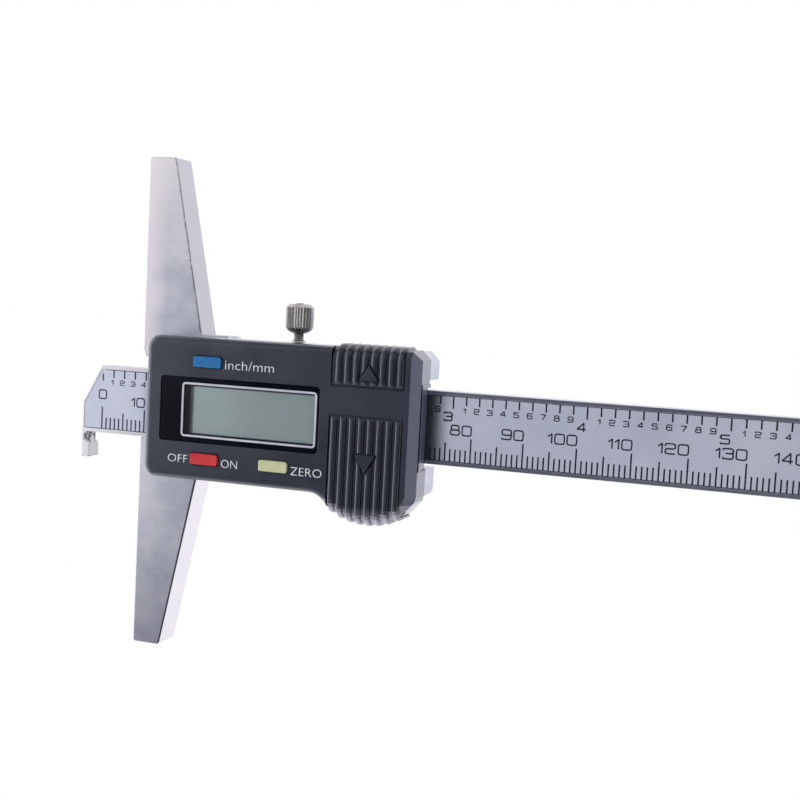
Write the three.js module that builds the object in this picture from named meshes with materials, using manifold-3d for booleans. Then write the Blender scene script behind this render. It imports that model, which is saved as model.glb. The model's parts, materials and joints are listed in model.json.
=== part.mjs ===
// Depth gauge with a hooked beam, a T-shaped base and frame, and a display housing. Millimetres.
// X runs along the beam: zero at the measuring face, plus towards the beam's far end.
// Y runs along the base, plus on the lock screw's side. Z is up from the base's back.
import * as THREE from "three";
import { mergeVertices } from "three/addons/utils/BufferGeometryUtils.js";
import Module from "manifold-3d";

const wasm = await Module();
wasm.setup();

// Clearances shared by every fit
const slideFit = 0.1;
const wallFit = 0.15;
const freeFit = 0.3;
const overrun = 2;
const weldTolerance = 0.0001;

// Facets
const cornerSteps = 4;
const edgeSteps = 6;
const roundSides = 24;
const knobSides = 56;

// Base
const baseLength = 100;
const baseEndWidth = 6;
const baseRootWidth = 13.2;
const baseRootHalf = 14.7;
const baseThickness = 6.2;
const baseEdgeBreak = 0.35;

// Beam
const restDepth = 13.9;
const readingRange = 150;
const overTravel = 2;
const beamWidth = 14;
const beamThickness = 3.6;
const railRise = 0.05;
const tipChamferLength = 4.35;
const tipChamferHeight = 7.75;
const hookDrop = 5.35;
const hookThickness = 1.65;
const hookRelief = 0.75;
const hookReliefHeight = 1.9;
const hookReliefSlope = 0.65;

// Scale
const scaleWidth = 12.44;
const scalePocketDepth = 0.75;
const labelThickness = 0.12;
const labelDrop = 0.05;
const scaleTipLip = 0.4;
const stripFit = 0.02;
const scaleEndLip = 6;

// End stop under the beam's far end
const stopLength = 8;
const stopInset = 0.6;
const stopLift = 0.3;
const stopScrewOffset = 3.6;
const stopScrewRadius = 0.8;
const stopScrewHeadRadius = 1.4;
const stopScrewHeadHeight = 0.7;
const stopScrewBite = 1.2;

// Slider frame
const frameUpper = 14.2;
const frameLower = 13.8;
const frameBackStep = 0.9;
const frameCornerCut = 1.75;
const frameLowerRadius = 1.5;
const shoulderEnd = 19;
const shoulderFall = 0.7;
const webThickness = 1.55;
const webStart = 7;
const endSlotLength = 4.5;
const slotRelief = 0.7;
const slotLipDepth = 0.5;
const slotLipRise = 1.3;
const endRelief = 0.95;

// Gib and its screws
const gibThickness = 1.7;
const gibEndGap = 1.2;
const gibScrewRadius = 1;
const gibScrewRecess = 0.4;
const gibScrewSlotWidth = 0.35;
const gibScrewSlotDepth = 0.5;
const gibScrewPlaces = [20, 50];

// Lock screw
const lockPlace = 33.45;
const lockShankRadius = 1.05;
const lockThreadDepth = 0.14;
const lockThreadPitch = 0.4;
const lockThreadTurns = 6;
const lockHeadRadius = 2.8;
const lockHeadStand = 1.9;
const lockBowlHeight = 1.48;
const lockBowlShares = [[0.4, 0], [0.59, 0.12], [0.76, 0.3], [0.89, 0.55], [0.97, 0.8], [1, 1]];
const lockHeadHeight = 4.32;
const lockHeadChamfer = 0.75;
const lockHeadDish = 0.25;
const lockHeadRim = 0.3;
const lockHeadBossRadius = 0.8;
const lockHeadBossRise = 0.2;
const knurlDepth = 0.28;
const bushRadius = 1.38;
const bushRise = 0.5;
const bushDepth = 1.2;

// Back plate
const backPlateThickness = 0.5;
const backPlateStart = 14.2;
const backPlateInset = 0.9;
const backPlateRadius = 0.8;

// Housing screws, through the frame into the cover
const screwHeadRadius = 1.45;
const screwHeadHeight = 0.8;
const screwShankRadius = 0.75;
const screwLength = 8.6;
const screwSink = 0.05;
const screwCrossWidth = 0.36;
const screwCrossLength = 1.7;
const screwCrossDepth = 0.45;
const screwAcross = { upper: 11.6, lower: -11.1 };
const screwLeftInset = 6.34;
const screwRightInset = 3.15;

// Front cover
const coverStart = 4.66;
const coverUpper = 14.45;
const coverLower = 13.9;
const coverHeight = 6.75;
const coverWall = 1.1;
const coverCeiling = 1.4;
const coverUpperRadius = 2.5;
const coverLowerRadius = 2.3;
const coverEdgeRound = 1.35;
const coverEndBevel = 1.7;
const coverBeamGap = 0.3;
const bossRadius = 1.65;
const postRadius = 1;

// Swollen grip at the cover's lower right
const flareLead = 2.1;
const flareRadius = 4;
const gripArcRadius = 13.6;
const gripArcShift = 0.3;
const gripDepth = 19.4;
const gripCornerRadius = 3.2;
const gripCornerHeight = 13.6;
const gripBevelRun = 5.5;
const gripFloor = 0.9;

// Slot in the cover's end wall over the beam
const endSlotUpper = 7.55;
const endSlotLower = 8.2;
const endSlotDepth = 0.8;
const endSlotGroove = 1;
const endSlotRidge = 0.9;
const endSlotRidgeDrop = 0.1;
const endSlotFootDrop = 0.3;
const endSlotLipRise = 0.25;
const endSlotLipWidth = 0.7;

// Display
const bezelMargin = 3.72;
const bezelLength = 34;
const bezelHeight = 12.75;
const bezelRadius = 0.8;
const bezelThickness = 0.7;
const bezelDrop = 0.2;
const displayCentre = 0.1;
const trimLeftMargin = 4.65;
const trimRightMargin = 0.45;
const trimRowMargin = 1;
const trimWidth = 0.4;
const trimThickness = 0.15;
const trimRadius = 0.75;
const windowLedge = 0.32;
const windowLeftLedge = 1.24;
const windowThickness = 0.65;
const windowRimWidth = 0.9;
const panelMargin = 1.3;
const panelThickness = 1.6;
const panelDrop = 1.6;
const connectorWidth = 1.6;
const connectorInset = 0.3;
const connectorEndGap = 1.5;

// Circuit board and what it carries
const boardLift = 0.25;
const boardThickness = 0.8;
const boardWallGap = 0.25;
const boardSplitGap = 0.65;
const boardEndInset = 4.1;
const boardArmLower = 0.5;
const boardUpper = 12.3;
const boardLower = 12.3;
const chipSize = 7;
const chipHeight = 0.8;
const socketLength = 9;
const socketWidth = 3;
const socketHeight = 1.5;
const socketPins = 4;
const socketPinWidth = 0.9;
const socketPinDepth = 0.6;
const socketAcross = 10.2;

// Buttons
const buttonLength = 6.05;
const buttonWidth = 2.2;
const buttonRise = 0.5;
const buttonRadius = 0.55;
const buttonCrown = 0.2;
const buttonFlange = 0.45;
const buttonFlangeThickness = 0.5;
const buttonStem = 1.6;
const domeRadius = 1.9;
const domeHeight = 0.4;
const domeCrownShares = [[1, 0], [0.98, 0.3], [0.72, 0.78], [0.3, 0.98]];
const buttonRowGap = 3.2;
const buttonInset = 5.49;
const zeroInset = 8.51;

// Battery and its contacts
const batteryRadius = 5.8;
const batteryThickness = 5.4;
const batteryMargin = 2.3;
const batteryStep = 0.4;
const batteryRimRadius = 4.9;
const contactThickness = 0.15;
const contactWidth = 3;
const contactMiddle = -7.7;
const contactReach = 5;
const contactHeight = 3.4;

// Ribbed sliding covers over the battery and over the data socket
const doorGap = 2.27;
const doorWidth = 14.7;
const doorEndMargin = 2.75;
const doorPlate = 0.9;
const doorWall = 1.1;
const doorHookDepth = 0.7;
const doorHookWeb = 0.75;
const doorHookReach = 0.7;
const doorHookThickness = 0.45;
const doorEdgeRound = 2.4;
const batteryDoorUpper = 1.5;
const portDoorLower = 7.05;
const portDoorUpper = 14.55;
const portDoorSkirt = 6.2;
const ribCount = 8;
const ribSteps = 8;
const ribWidth = 1.3;
const ribHeight = 0.5;
const ribRoot = 0.2;
const ribEndGap = 0.35;
const ribEndShare = 0.3;
const ribFullnessShare = 0.83;
const batteryRibInset = 0.9;
const batteryRibPitch = 1.85;
const portRibInset = 1.38;
const portRibPitch = 1.77;
const markRise = 0.1;
const markMargin = 0.3;
const markShift = 0.25;
const batteryMarkWidth = 3.85;
const batteryMarkHeight = 3.5;
const batteryMarkBase = -5.65;
const portMarkWidth = 3.7;
const portMarkHeight = 2.85;
const portMarkTip = 11.25;

// Places along the beam that follow, from the cover's left end to the frame's right end
const bezelStart = coverStart + bezelMargin;
const bezelEnd = bezelStart + bezelLength;
const trimStart = bezelStart + trimLeftMargin;
const trimLength = bezelLength - trimLeftMargin - trimRightMargin;
const trimHeight = bezelHeight - 2 * trimRowMargin;
const doorStart = bezelEnd + doorGap;
const doorEnd = doorStart + doorWidth;
const doorMiddle = doorStart + doorWidth / 2;
const frameEnd = doorEnd + doorEndMargin;
const webEnd = frameEnd - endSlotLength;
const gripArcPlace = doorMiddle + gripArcShift;
const screwAlong = { left: coverStart + screwLeftInset, right: doorStart - screwRightInset };
const boardSplit = doorStart - boardSplitGap;
const boardEnd = frameEnd - boardEndInset;
const batteryPlace = [doorMiddle, batteryRadius + batteryMargin - gripDepth];
const socketPlace = [doorMiddle, socketAcross];
const markPlace = doorMiddle + markShift;
const buttonRow = bezelHeight / 2 + buttonRowGap;
const buttonPlaces = {
  unit: [trimStart + buttonInset, displayCentre + buttonRow],
  power: [trimStart + buttonInset, displayCentre - buttonRow],
  zero: [trimStart + trimLength - zeroInset, displayCentre - buttonRow],
};

// Levels that follow
const frontLevel = baseThickness;
const frameBack = frameBackStep;
const frameMiddle = (frameBack + frontLevel) / 2;
const webLevel = frameBack + webThickness;
const beamTop = frontLevel + railRise;
const beamBack = beamTop - beamThickness;
const beamHalf = beamWidth / 2;
const beamTip = -restDepth;
const beamEnd = readingRange + overTravel + webEnd + stopLength - restDepth;
const gibOuter = beamHalf + slideFit + gibThickness;
const channelUpper = gibOuter + slideFit;
const channelLower = beamHalf + wallFit;
const coverTop = frontLevel + coverHeight;
const ceilingLevel = coverTop - coverCeiling;
const coverEnd = frameEnd;
const boardBack = frontLevel + boardLift;
const boardTop = boardBack + boardThickness;
const panelTop = coverTop - panelDrop;
const panelBack = panelTop - panelThickness;
const bezelTop = coverTop - bezelDrop;
const bezelBack = bezelTop - bezelThickness;
const doorBack = coverTop - doorPlate;
const doorTop = coverTop - ribHeight / 2;
const gripArcCentre = gripArcRadius - gripDepth;
const gripFloorBack = frontLevel - gripFloor;

// An outline through corners [x, y, radius], each rounded by its radius.
function rounded(corners) {
  const points = [];
  corners.forEach(([x, y, radius], index) => {
    const corner = new THREE.Vector2(x, y);
    if (!radius) {
      points.push(corner);
      return;
    }
    const [beforeX, beforeY] = corners.at(index - 1);
    const [afterX, afterY] = corners[(index + 1) % corners.length];
    const before = new THREE.Vector2(beforeX, beforeY).sub(corner).normalize();
    const after = new THREE.Vector2(afterX, afterY).sub(corner).normalize();
    const half = Math.acos(before.dot(after)) / 2;
    const start = corner.clone().addScaledVector(before, radius / Math.tan(half));
    const middle = before.clone().add(after).normalize();
    const centre = corner.clone().addScaledVector(middle, radius / Math.sin(half));
    const from = start.clone().sub(centre);
    const side = Math.sign(after.cross(before));
    const sweep = (Math.PI - 2 * half) * side;
    for (let step = 0; step <= cornerSteps; step += 1) {
      points.push(from.clone().rotateAround(new THREE.Vector2(), (sweep * step) / cornerSteps).add(centre));
    }
  });
  return points;
}

function rectangle(lowX, highX, lowY, highY, radius = 0) {
  const corners = [[lowX, lowY], [highX, lowY], [highX, highY], [lowX, highY]];
  return rounded(corners.map((corner) => [...corner, radius]));
}

function circle(x, y, radius, sides = roundSides) {
  return Array.from({ length: sides }, (_, index) => {
    const angle = (2 * Math.PI * (index + 1 / 2)) / sides;
    return new THREE.Vector2(x + radius * Math.cos(angle), y + radius * Math.sin(angle));
  });
}

// A closed solid from any three.js geometry.
function solid(geometry) {
  const bare = geometry.index ? geometry.toNonIndexed() : geometry;
  bare.deleteAttribute("normal");
  bare.deleteAttribute("uv");
  const merged = mergeVertices(bare, weldTolerance);
  const corners = merged.index.array;
  const triangles = [];
  for (let at = 0; at < corners.length; at += 3) {
    const [a, b, c] = [corners[at], corners[at + 1], corners[at + 2]];
    if (a !== b && b !== c && c !== a) triangles.push(a, b, c);
  }
  const vertices = new Float32Array(merged.attributes.position.array);
  const mesh = new wasm.Mesh({ numProp: 3, vertProperties: vertices, triVerts: new Uint32Array(triangles) });
  return new wasm.Manifold(mesh);
}

// The directions that an outline's two axes and the extrusion take, for a prism along each axis.
const unitX = new THREE.Vector3(1, 0, 0);
const unitY = new THREE.Vector3(0, 1, 0);
const unitZ = new THREE.Vector3(0, 0, 1);
const prismTurns = {
  x: new THREE.Matrix4().makeBasis(unitY, unitZ, unitX),
  y: new THREE.Matrix4().makeBasis(unitZ, unitX, unitY),
  z: new THREE.Matrix4(),
};

// A prism along an axis. Its outline is in (y, z) for x, (z, x) for y and (x, y) for z.
function prism(axis, outline, low, high) {
  const options = { depth: high - low, bevelEnabled: false };
  const geometry = new THREE.ExtrudeGeometry(new THREE.Shape(outline), options);
  geometry.translate(0, 0, low);
  geometry.applyMatrix4(prismTurns[axis]);
  return solid(geometry);
}

// A slab over a plan in (x, y) whose front edges are rounded in some steps, or bevelled in one.
function edgedSlab(outline, lowZ, highZ, edge, steps) {
  const geometry = new THREE.ExtrudeGeometry(new THREE.Shape(outline), {
    depth: highZ - lowZ - edge,
    bevelEnabled: true,
    bevelThickness: edge,
    bevelSize: edge,
    bevelOffset: -edge,
    bevelSegments: steps,
  });
  geometry.translate(0, 0, lowZ);
  return solid(geometry);
}

function block(lowX, highX, lowY, highY, lowZ, highZ) {
  return prism("z", rectangle(lowX, highX, lowY, highY), lowZ, highZ);
}

// A turned solid about an axis through (a, b), from [radius, place along the axis] points.
function turned(axis, profile, at, sides = roundSides) {
  const points = profile.map(([radius, along]) => new THREE.Vector2(radius, along));
  const geometry = new THREE.LatheGeometry(points, sides);
  if (axis === "z") geometry.rotateX(Math.PI / 2);
  geometry.translate(...at);
  return solid(geometry);
}

function join(first, ...others) {
  return others.reduce((sum, other) => sum.add(other), first);
}

function cut(first, ...others) {
  return others.reduce((rest, other) => rest.subtract(other), first);
}

function toGeometry(shape) {
  const { vertProperties, triVerts } = shape.getMesh();
  const indexed = new THREE.BufferGeometry();
  indexed.setAttribute("position", new THREE.BufferAttribute(new Float32Array(vertProperties), 3));
  indexed.setIndex(new THREE.BufferAttribute(new Uint32Array(triVerts), 1));
  const flat = indexed.toNonIndexed();
  flat.computeVertexNormals();
  return flat;
}

const gauge = new THREE.Group();
gauge.name = "depth_gauge";

function piece(name, shape, finish, parent = gauge) {
  const mesh = new THREE.Mesh(toGeometry(shape), new THREE.MeshStandardMaterial(finish));
  mesh.name = name;
  parent.add(mesh);
  return mesh;
}

// Finishes
const groundSteel = { color: 0xb4b4bd, roughness: 0.36, metalness: 1 };
const railSteel = { color: 0xc4c4cc, roughness: 0.3, metalness: 1 };
const plateSteel = { color: 0xbcbcc2, roughness: 0.4, metalness: 1 };
const screwSteel = { color: 0x8c8c92, roughness: 0.34, metalness: 1 };
const knobSteel = { color: 0x77777e, roughness: 0.32, metalness: 1 };
const gibBrass = { color: 0xb08d4c, roughness: 0.4, metalness: 1 };
const contactNickel = { color: 0xc8c4b8, roughness: 0.3, metalness: 1 };
const coverPlastic = { color: 0x3c3e4b, roughness: 0.5, metalness: 0 };
const bezelPlastic = { color: 0x12141c, roughness: 0.25, metalness: 0 };
const trimSilver = { color: 0xb4b2be, roughness: 0.35, metalness: 0.8 };
const clearPlastic = { color: 0xf2f5f5, roughness: 0.05, metalness: 0, transparent: true, opacity: 0.2 };
const panelGlass = { color: 0x8c9b98, roughness: 0.2, metalness: 0 };
const boardResin = { color: 0x1f5a38, roughness: 0.5, metalness: 0 };
const chipResin = { color: 0x17171a, roughness: 0.55, metalness: 0 };
const rubberGrey = { color: 0x55565a, roughness: 0.8, metalness: 0 };
const labelFilm = { color: 0xc0c2d0, roughness: 0.5, metalness: 0.1 };
const stopPlastic = { color: 0x2c2c30, roughness: 0.6, metalness: 0 };
const unitBlue = { color: 0x3778b9, roughness: 0.5, metalness: 0 };
const powerRed = { color: 0xcd3232, roughness: 0.5, metalness: 0 };
const zeroYellow = { color: 0xcdd296, roughness: 0.5, metalness: 0 };

// Housing screw holes and screws: a flat head at the back, pointing up.
function countersunk(clearance, length) {
  return [
    [0, 0],
    [screwHeadRadius + clearance, 0],
    [screwShankRadius + clearance, screwHeadHeight],
    [screwShankRadius + clearance, length],
    [0, length],
  ];
}

const screwSeats = [
  { name: "left_upper", x: screwAlong.left, y: screwAcross.upper, back: 0 },
  { name: "left_lower", x: screwAlong.left, y: screwAcross.lower, back: 0 },
  { name: "right_upper", x: screwAlong.right, y: screwAcross.upper, back: frameBack - backPlateThickness },
  { name: "right_lower", x: screwAlong.right, y: screwAcross.lower, back: frameBack - backPlateThickness },
];

function screwHole({ x, y, back }) {
  const sink = turned("z", countersunk(slideFit, screwLength + slideFit), [x, y, back + screwSink]);
  const mouth = prism("z", circle(x, y, screwHeadRadius + slideFit), back - overrun, back + screwSink);
  return join(sink, mouth);
}

function makeHousingScrews() {
  screwSeats.forEach((seat) => {
    const body = turned("z", countersunk(0, screwLength), [0, 0, 0]);
    const half = screwCrossLength / 2;
    const arm = screwCrossWidth / 2;
    const crossAlong = block(-half, half, -arm, arm, -overrun, screwCrossDepth);
    const crossAcross = block(-arm, arm, -half, half, -overrun, screwCrossDepth);
    const screw = piece(`housing_screw_${seat.name}`, cut(body, crossAlong, crossAcross), screwSteel);
    screw.position.set(seat.x, seat.y, seat.back + screwSink);
  });
}

// Base and frame, one T-shaped steel body with the beam's channel through it.
function makeBaseFrame() {
  const half = baseLength / 2;
  const bridge = prism("z", rounded([
    [baseEdgeBreak, -half],
    [baseEndWidth - baseEdgeBreak, -half],
    [baseEndWidth, baseEdgeBreak - half],
    [baseRootWidth, -baseRootHalf],
    [baseRootWidth, baseRootHalf],
    [baseEndWidth, half - baseEdgeBreak],
    [baseEndWidth - baseEdgeBreak, half],
    [baseEdgeBreak, half],
    [0, half - baseEdgeBreak],
    [0, baseEdgeBreak - half],
  ]), 0, frontLevel);
  const slider = prism("z", rounded([
    [webStart, -frameLower],
    [frameEnd, -frameLower, frameLowerRadius],
    [frameEnd, frameUpper - frameCornerCut],
    [frameEnd - frameCornerCut, frameUpper],
    [shoulderEnd + shoulderFall, frameUpper],
    [shoulderEnd, baseRootHalf],
    [webStart, baseRootHalf],
  ]), frameBack, frontLevel);
  const above = frontLevel + overrun;
  const channel = block(-overrun, frameEnd + overrun, -channelLower, channelUpper, webLevel, above);
  const slotUpper = channelUpper + slotRelief;
  const baseSlot = prism("z", [
    new THREE.Vector2(-overrun, -channelLower),
    new THREE.Vector2(webStart, -channelLower),
    new THREE.Vector2(webStart, slotUpper),
    new THREE.Vector2(slotLipDepth, slotUpper),
    new THREE.Vector2(0, slotUpper + slotLipRise),
    new THREE.Vector2(-overrun, slotUpper + slotLipRise),
  ], -overrun, above);
  const endSlotFoot = -channelLower - endRelief;
  const endSlot = block(webEnd, frameEnd + overrun, endSlotFoot, channelUpper, -overrun, above);
  const outside = frameUpper + overrun;
  const lockBore = prism("y", circle(frameMiddle, lockPlace, lockShankRadius + slideFit), 0, outside);
  const seatOutline = circle(frameMiddle, lockPlace, bushRadius + slideFit);
  const lockHole = join(lockBore, prism("y", seatOutline, frameUpper - bushDepth, outside));
  const gibHoles = gibScrewPlaces.map((place) => (
    prism("y", circle(frameMiddle, place, gibScrewRadius + slideFit), 0, outside)
  ));
  const holes = [lockHole, ...gibHoles, ...screwSeats.map(screwHole)];
  piece("base_frame", cut(join(bridge, slider), channel, baseSlot, endSlot, ...holes), groundSteel);
}

function makeGib() {
  const strip = block(
    webStart + gibEndGap,
    webEnd - gibEndGap,
    beamHalf + slideFit,
    gibOuter,
    webLevel + slideFit,
    frontLevel - freeFit,
  );
  piece("gib_strip", strip, gibBrass);
  const screwFoot = gibOuter + slideFit;
  const screwTop = frameUpper - gibScrewRecess;
  gibScrewPlaces.forEach((place, index) => {
    const body = prism("y", circle(0, 0, gibScrewRadius), screwFoot, screwTop);
    const half = gibScrewSlotWidth / 2;
    const slotFloor = screwTop - gibScrewSlotDepth;
    const reach = gibScrewRadius + overrun;
    const slot = block(-reach, reach, slotFloor, screwTop + overrun, -half, half);
    const screw = piece(`gib_screw_${index + 1}`, cut(body, slot), screwSteel);
    screw.position.set(place, 0, frameMiddle);
  });
}

// Lock screw: a knurled head on a threaded shank whose end bears on the gib.
function makeLockScrew() {
  const tip = gibOuter + slideFit;
  const neckTop = frameUpper + lockHeadStand;
  const threadFoot = neckTop - lockThreadPitch * lockThreadTurns;
  const shank = [[0, tip], [lockShankRadius, tip], [lockShankRadius, threadFoot]];
  for (let turn = 0; turn < lockThreadTurns; turn += 1) {
    const along = threadFoot + turn * lockThreadPitch;
    shank.push([lockShankRadius - lockThreadDepth, along + lockThreadPitch / 2]);
    shank.push([lockShankRadius, along + lockThreadPitch]);
  }
  const headTop = neckTop + lockBowlHeight + lockHeadHeight;
  const rimRadius = lockHeadRadius - lockHeadChamfer - lockHeadRim;
  const shankBody = turned("y", [...shank, [0, neckTop + lockBowlHeight / 2]], [0, 0, 0]);
  const head = turned("y", [
    [0, neckTop],
    ...lockBowlShares.map(([out, up]) => [out * lockHeadRadius, neckTop + up * lockBowlHeight]),
    [lockHeadRadius, headTop - lockHeadChamfer],
    [lockHeadRadius - lockHeadChamfer, headTop],
    [rimRadius, headTop],
    [rimRadius - lockHeadDish, headTop - lockHeadDish],
    [lockHeadBossRadius, headTop - lockHeadDish],
    [lockHeadBossRadius, headTop + lockHeadBossRise],
    [0, headTop + lockHeadBossRise],
  ], [0, 0, 0], knobSides);
  const ridges = Array.from({ length: knobSides }, (_, index) => {
    const angle = (2 * Math.PI * index) / knobSides;
    const radius = index % 2 ? lockHeadRadius - knurlDepth : lockHeadRadius;
    return new THREE.Vector2(radius * Math.cos(angle), radius * Math.sin(angle));
  });
  const knurl = prism("y", ridges, neckTop - overrun, headTop + overrun);
  const screw = piece("lock_screw", join(head.intersect(knurl), shankBody), knobSteel);
  screw.position.set(lockPlace, 0, frameMiddle);
  const sleeve = prism("y", circle(0, 0, bushRadius), frameUpper - bushDepth, frameUpper + bushRise);
  const bore = prism("y", circle(0, 0, lockShankRadius + slideFit), 0, frameUpper + overrun);
  const bush = piece("lock_bush", cut(sleeve, bore), knobSteel);
  bush.position.set(lockPlace, 0, frameMiddle);
}

function makeBackPlate() {
  const plate = prism("z", rectangle(
    backPlateStart,
    webEnd,
    backPlateInset - frameLower,
    frameUpper - backPlateInset,
    backPlateRadius,
  ), frameBack - backPlateThickness, frameBack);
  piece("back_plate", cut(plate, ...screwSeats.map(screwHole)), plateSteel);
}

// The beam's front outline, drawn in by an inset, with or without the hook.
function beamOutline(inset, highX, halfWidth, hooked) {
  const lowX = beamTip + inset;
  const slope = tipChamferHeight / tipChamferLength;
  const chamferFoot = beamHalf - tipChamferHeight - inset * (Math.hypot(slope, 1) - slope);
  const chamferTop = lowX + (halfWidth - chamferFoot) / slope;
  const upper = [[highX, halfWidth], [chamferTop, halfWidth], [lowX, chamferFoot]];
  if (!hooked) return rounded([[lowX, -halfWidth], [highX, -halfWidth], ...upper]);
  const hookFoot = -halfWidth - hookDrop;
  const hookFace = lowX + hookThickness;
  const reliefFace = hookFace - hookRelief;
  const reliefFoot = -halfWidth - hookReliefHeight;
  return rounded([
    [lowX, hookFoot],
    [hookFace, hookFoot],
    [hookFace, reliefFoot - hookReliefSlope],
    [reliefFace, reliefFoot],
    [reliefFace, -halfWidth],
    [highX, -halfWidth],
    ...upper,
  ]);
}

function makeBeam() {
  const bar = prism("z", beamOutline(0, beamEnd, beamHalf, true), beamBack, beamTop);
  const pocketOutline = beamOutline(scaleTipLip, beamEnd - scaleEndLip, scaleWidth / 2 + stripFit, false);
  const pocketFloor = beamTop - scalePocketDepth;
  const pocket = prism("z", pocketOutline, pocketFloor, beamTop + overrun);
  const stopMiddle = beamEnd - stopLength / 2;
  const screwTop = beamBack + stopScrewBite;
  const holes = [-stopScrewOffset, stopScrewOffset].map((y) => (
    prism("z", circle(stopMiddle, y, stopScrewRadius + slideFit), beamBack - overrun, screwTop + slideFit)
  ));
  piece("beam", cut(bar, pocket, ...holes), railSteel);

  const labelTop = beamTop - labelDrop;
  const labelBack = labelTop - labelThickness;
  const stripEnd = beamEnd - scaleEndLip - stripFit;
  const strip = beamOutline(scaleTipLip + stripFit, stripEnd, scaleWidth / 2, false);
  piece("scale_stator", prism("z", strip, pocketFloor, labelBack), boardResin);
  piece("scale_label", prism("z", strip, labelBack, labelTop), labelFilm);

  const stopHalf = beamHalf - stopInset;
  const stop = block(beamEnd - stopLength, beamEnd, -stopHalf, stopHalf, stopLift, beamBack);
  const headTop = stopLift + stopScrewHeadHeight;
  const seats = [-stopScrewOffset, stopScrewOffset].map((y) => join(
    prism("z", circle(stopMiddle, y, stopScrewRadius + slideFit), stopLift - overrun, beamBack + overrun),
    prism("z", circle(stopMiddle, y, stopScrewHeadRadius + slideFit), stopLift - overrun, headTop),
  ));
  piece("end_stop", cut(stop, ...seats), stopPlastic);
  [-stopScrewOffset, stopScrewOffset].forEach((y, index) => {
    const body = turned("z", [
      [0, 0],
      [stopScrewHeadRadius, 0],
      [stopScrewHeadRadius, stopScrewHeadHeight - screwSink],
      [stopScrewRadius, stopScrewHeadHeight - screwSink],
      [stopScrewRadius, screwTop - stopLift - screwSink],
      [0, screwTop - stopLift - screwSink],
    ], [0, 0, 0]);
    const half = screwCrossWidth / 2;
    const slotLow = -stopScrewHeadRadius - overrun;
    const slot = block(slotLow, -slotLow, -half, half, -overrun, stopScrewHeadHeight / 2);
    const screw = piece(`stop_screw_${index + 1}`, cut(body, slot), screwSteel);
    screw.position.set(stopMiddle, y, stopLift + screwSink);
  });
}

// Place of the grip's bottom arc at x, drawn in by an inset.
function gripArc(x, inset) {
  const radius = gripArcRadius - inset;
  return gripArcCentre - Math.sqrt(radius ** 2 - (x - gripArcPlace) ** 2);
}

function gripArcPoints(lowX, highX, inset) {
  const steps = cornerSteps * 3;
  return Array.from({ length: steps + 1 }, (_, index) => {
    const x = lowX + ((highX - lowX) * index) / steps;
    return [x, gripArc(x, inset)];
  });
}

// The cover's plan, whose lower right swells round the battery. It runs on past the right end.
function coverOutline() {
  const [lastX, lastY] = [doorEnd, gripArc(doorEnd, ribHeight)];
  const rise = (-gripCornerHeight - lastY) / (coverEnd - lastX);
  return rounded([
    [coverStart, -coverLower, coverLowerRadius],
    [doorStart - flareLead, -coverLower, flareRadius],
    ...gripArcPoints(doorStart, doorEnd, ribHeight),
    [coverEnd + overrun, overrun * rise - gripCornerHeight],
    [coverEnd + overrun, coverUpper],
    [coverStart, coverUpper, coverUpperRadius],
  ]);
}

// What the cover's right end is cut to: bevelled to the front, wide of the cover on its other sides.
function coverEndOutline() {
  const depth = gripDepth + overrun;
  return rounded([
    [coverStart - overrun, -depth],
    [coverEnd - gripBevelRun, -depth],
    [coverEnd, -gripCornerHeight, gripCornerRadius],
    [coverEnd, coverUpper + 2 * overrun],
    [coverStart - overrun, coverUpper + 2 * overrun],
  ]);
}

// Channels that a sliding cover's hooks run in, between two places along Y.
function hookChannels(lowY, highY) {
  const lowZ = ceilingLevel - doorHookDepth - freeFit;
  const reach = doorHookReach + wallFit;
  const web = doorHookWeb + wallFit;
  return [
    block(doorStart - reach, doorStart + web, lowY, highY, lowZ, ceilingLevel),
    block(doorStart - slideFit, doorStart + web, lowY, highY, lowZ, doorBack),
    block(doorEnd - web, doorEnd + reach, lowY, highY, lowZ, ceilingLevel),
    block(doorEnd - web, doorEnd + slideFit, lowY, highY, lowZ, doorBack),
  ];
}

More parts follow.
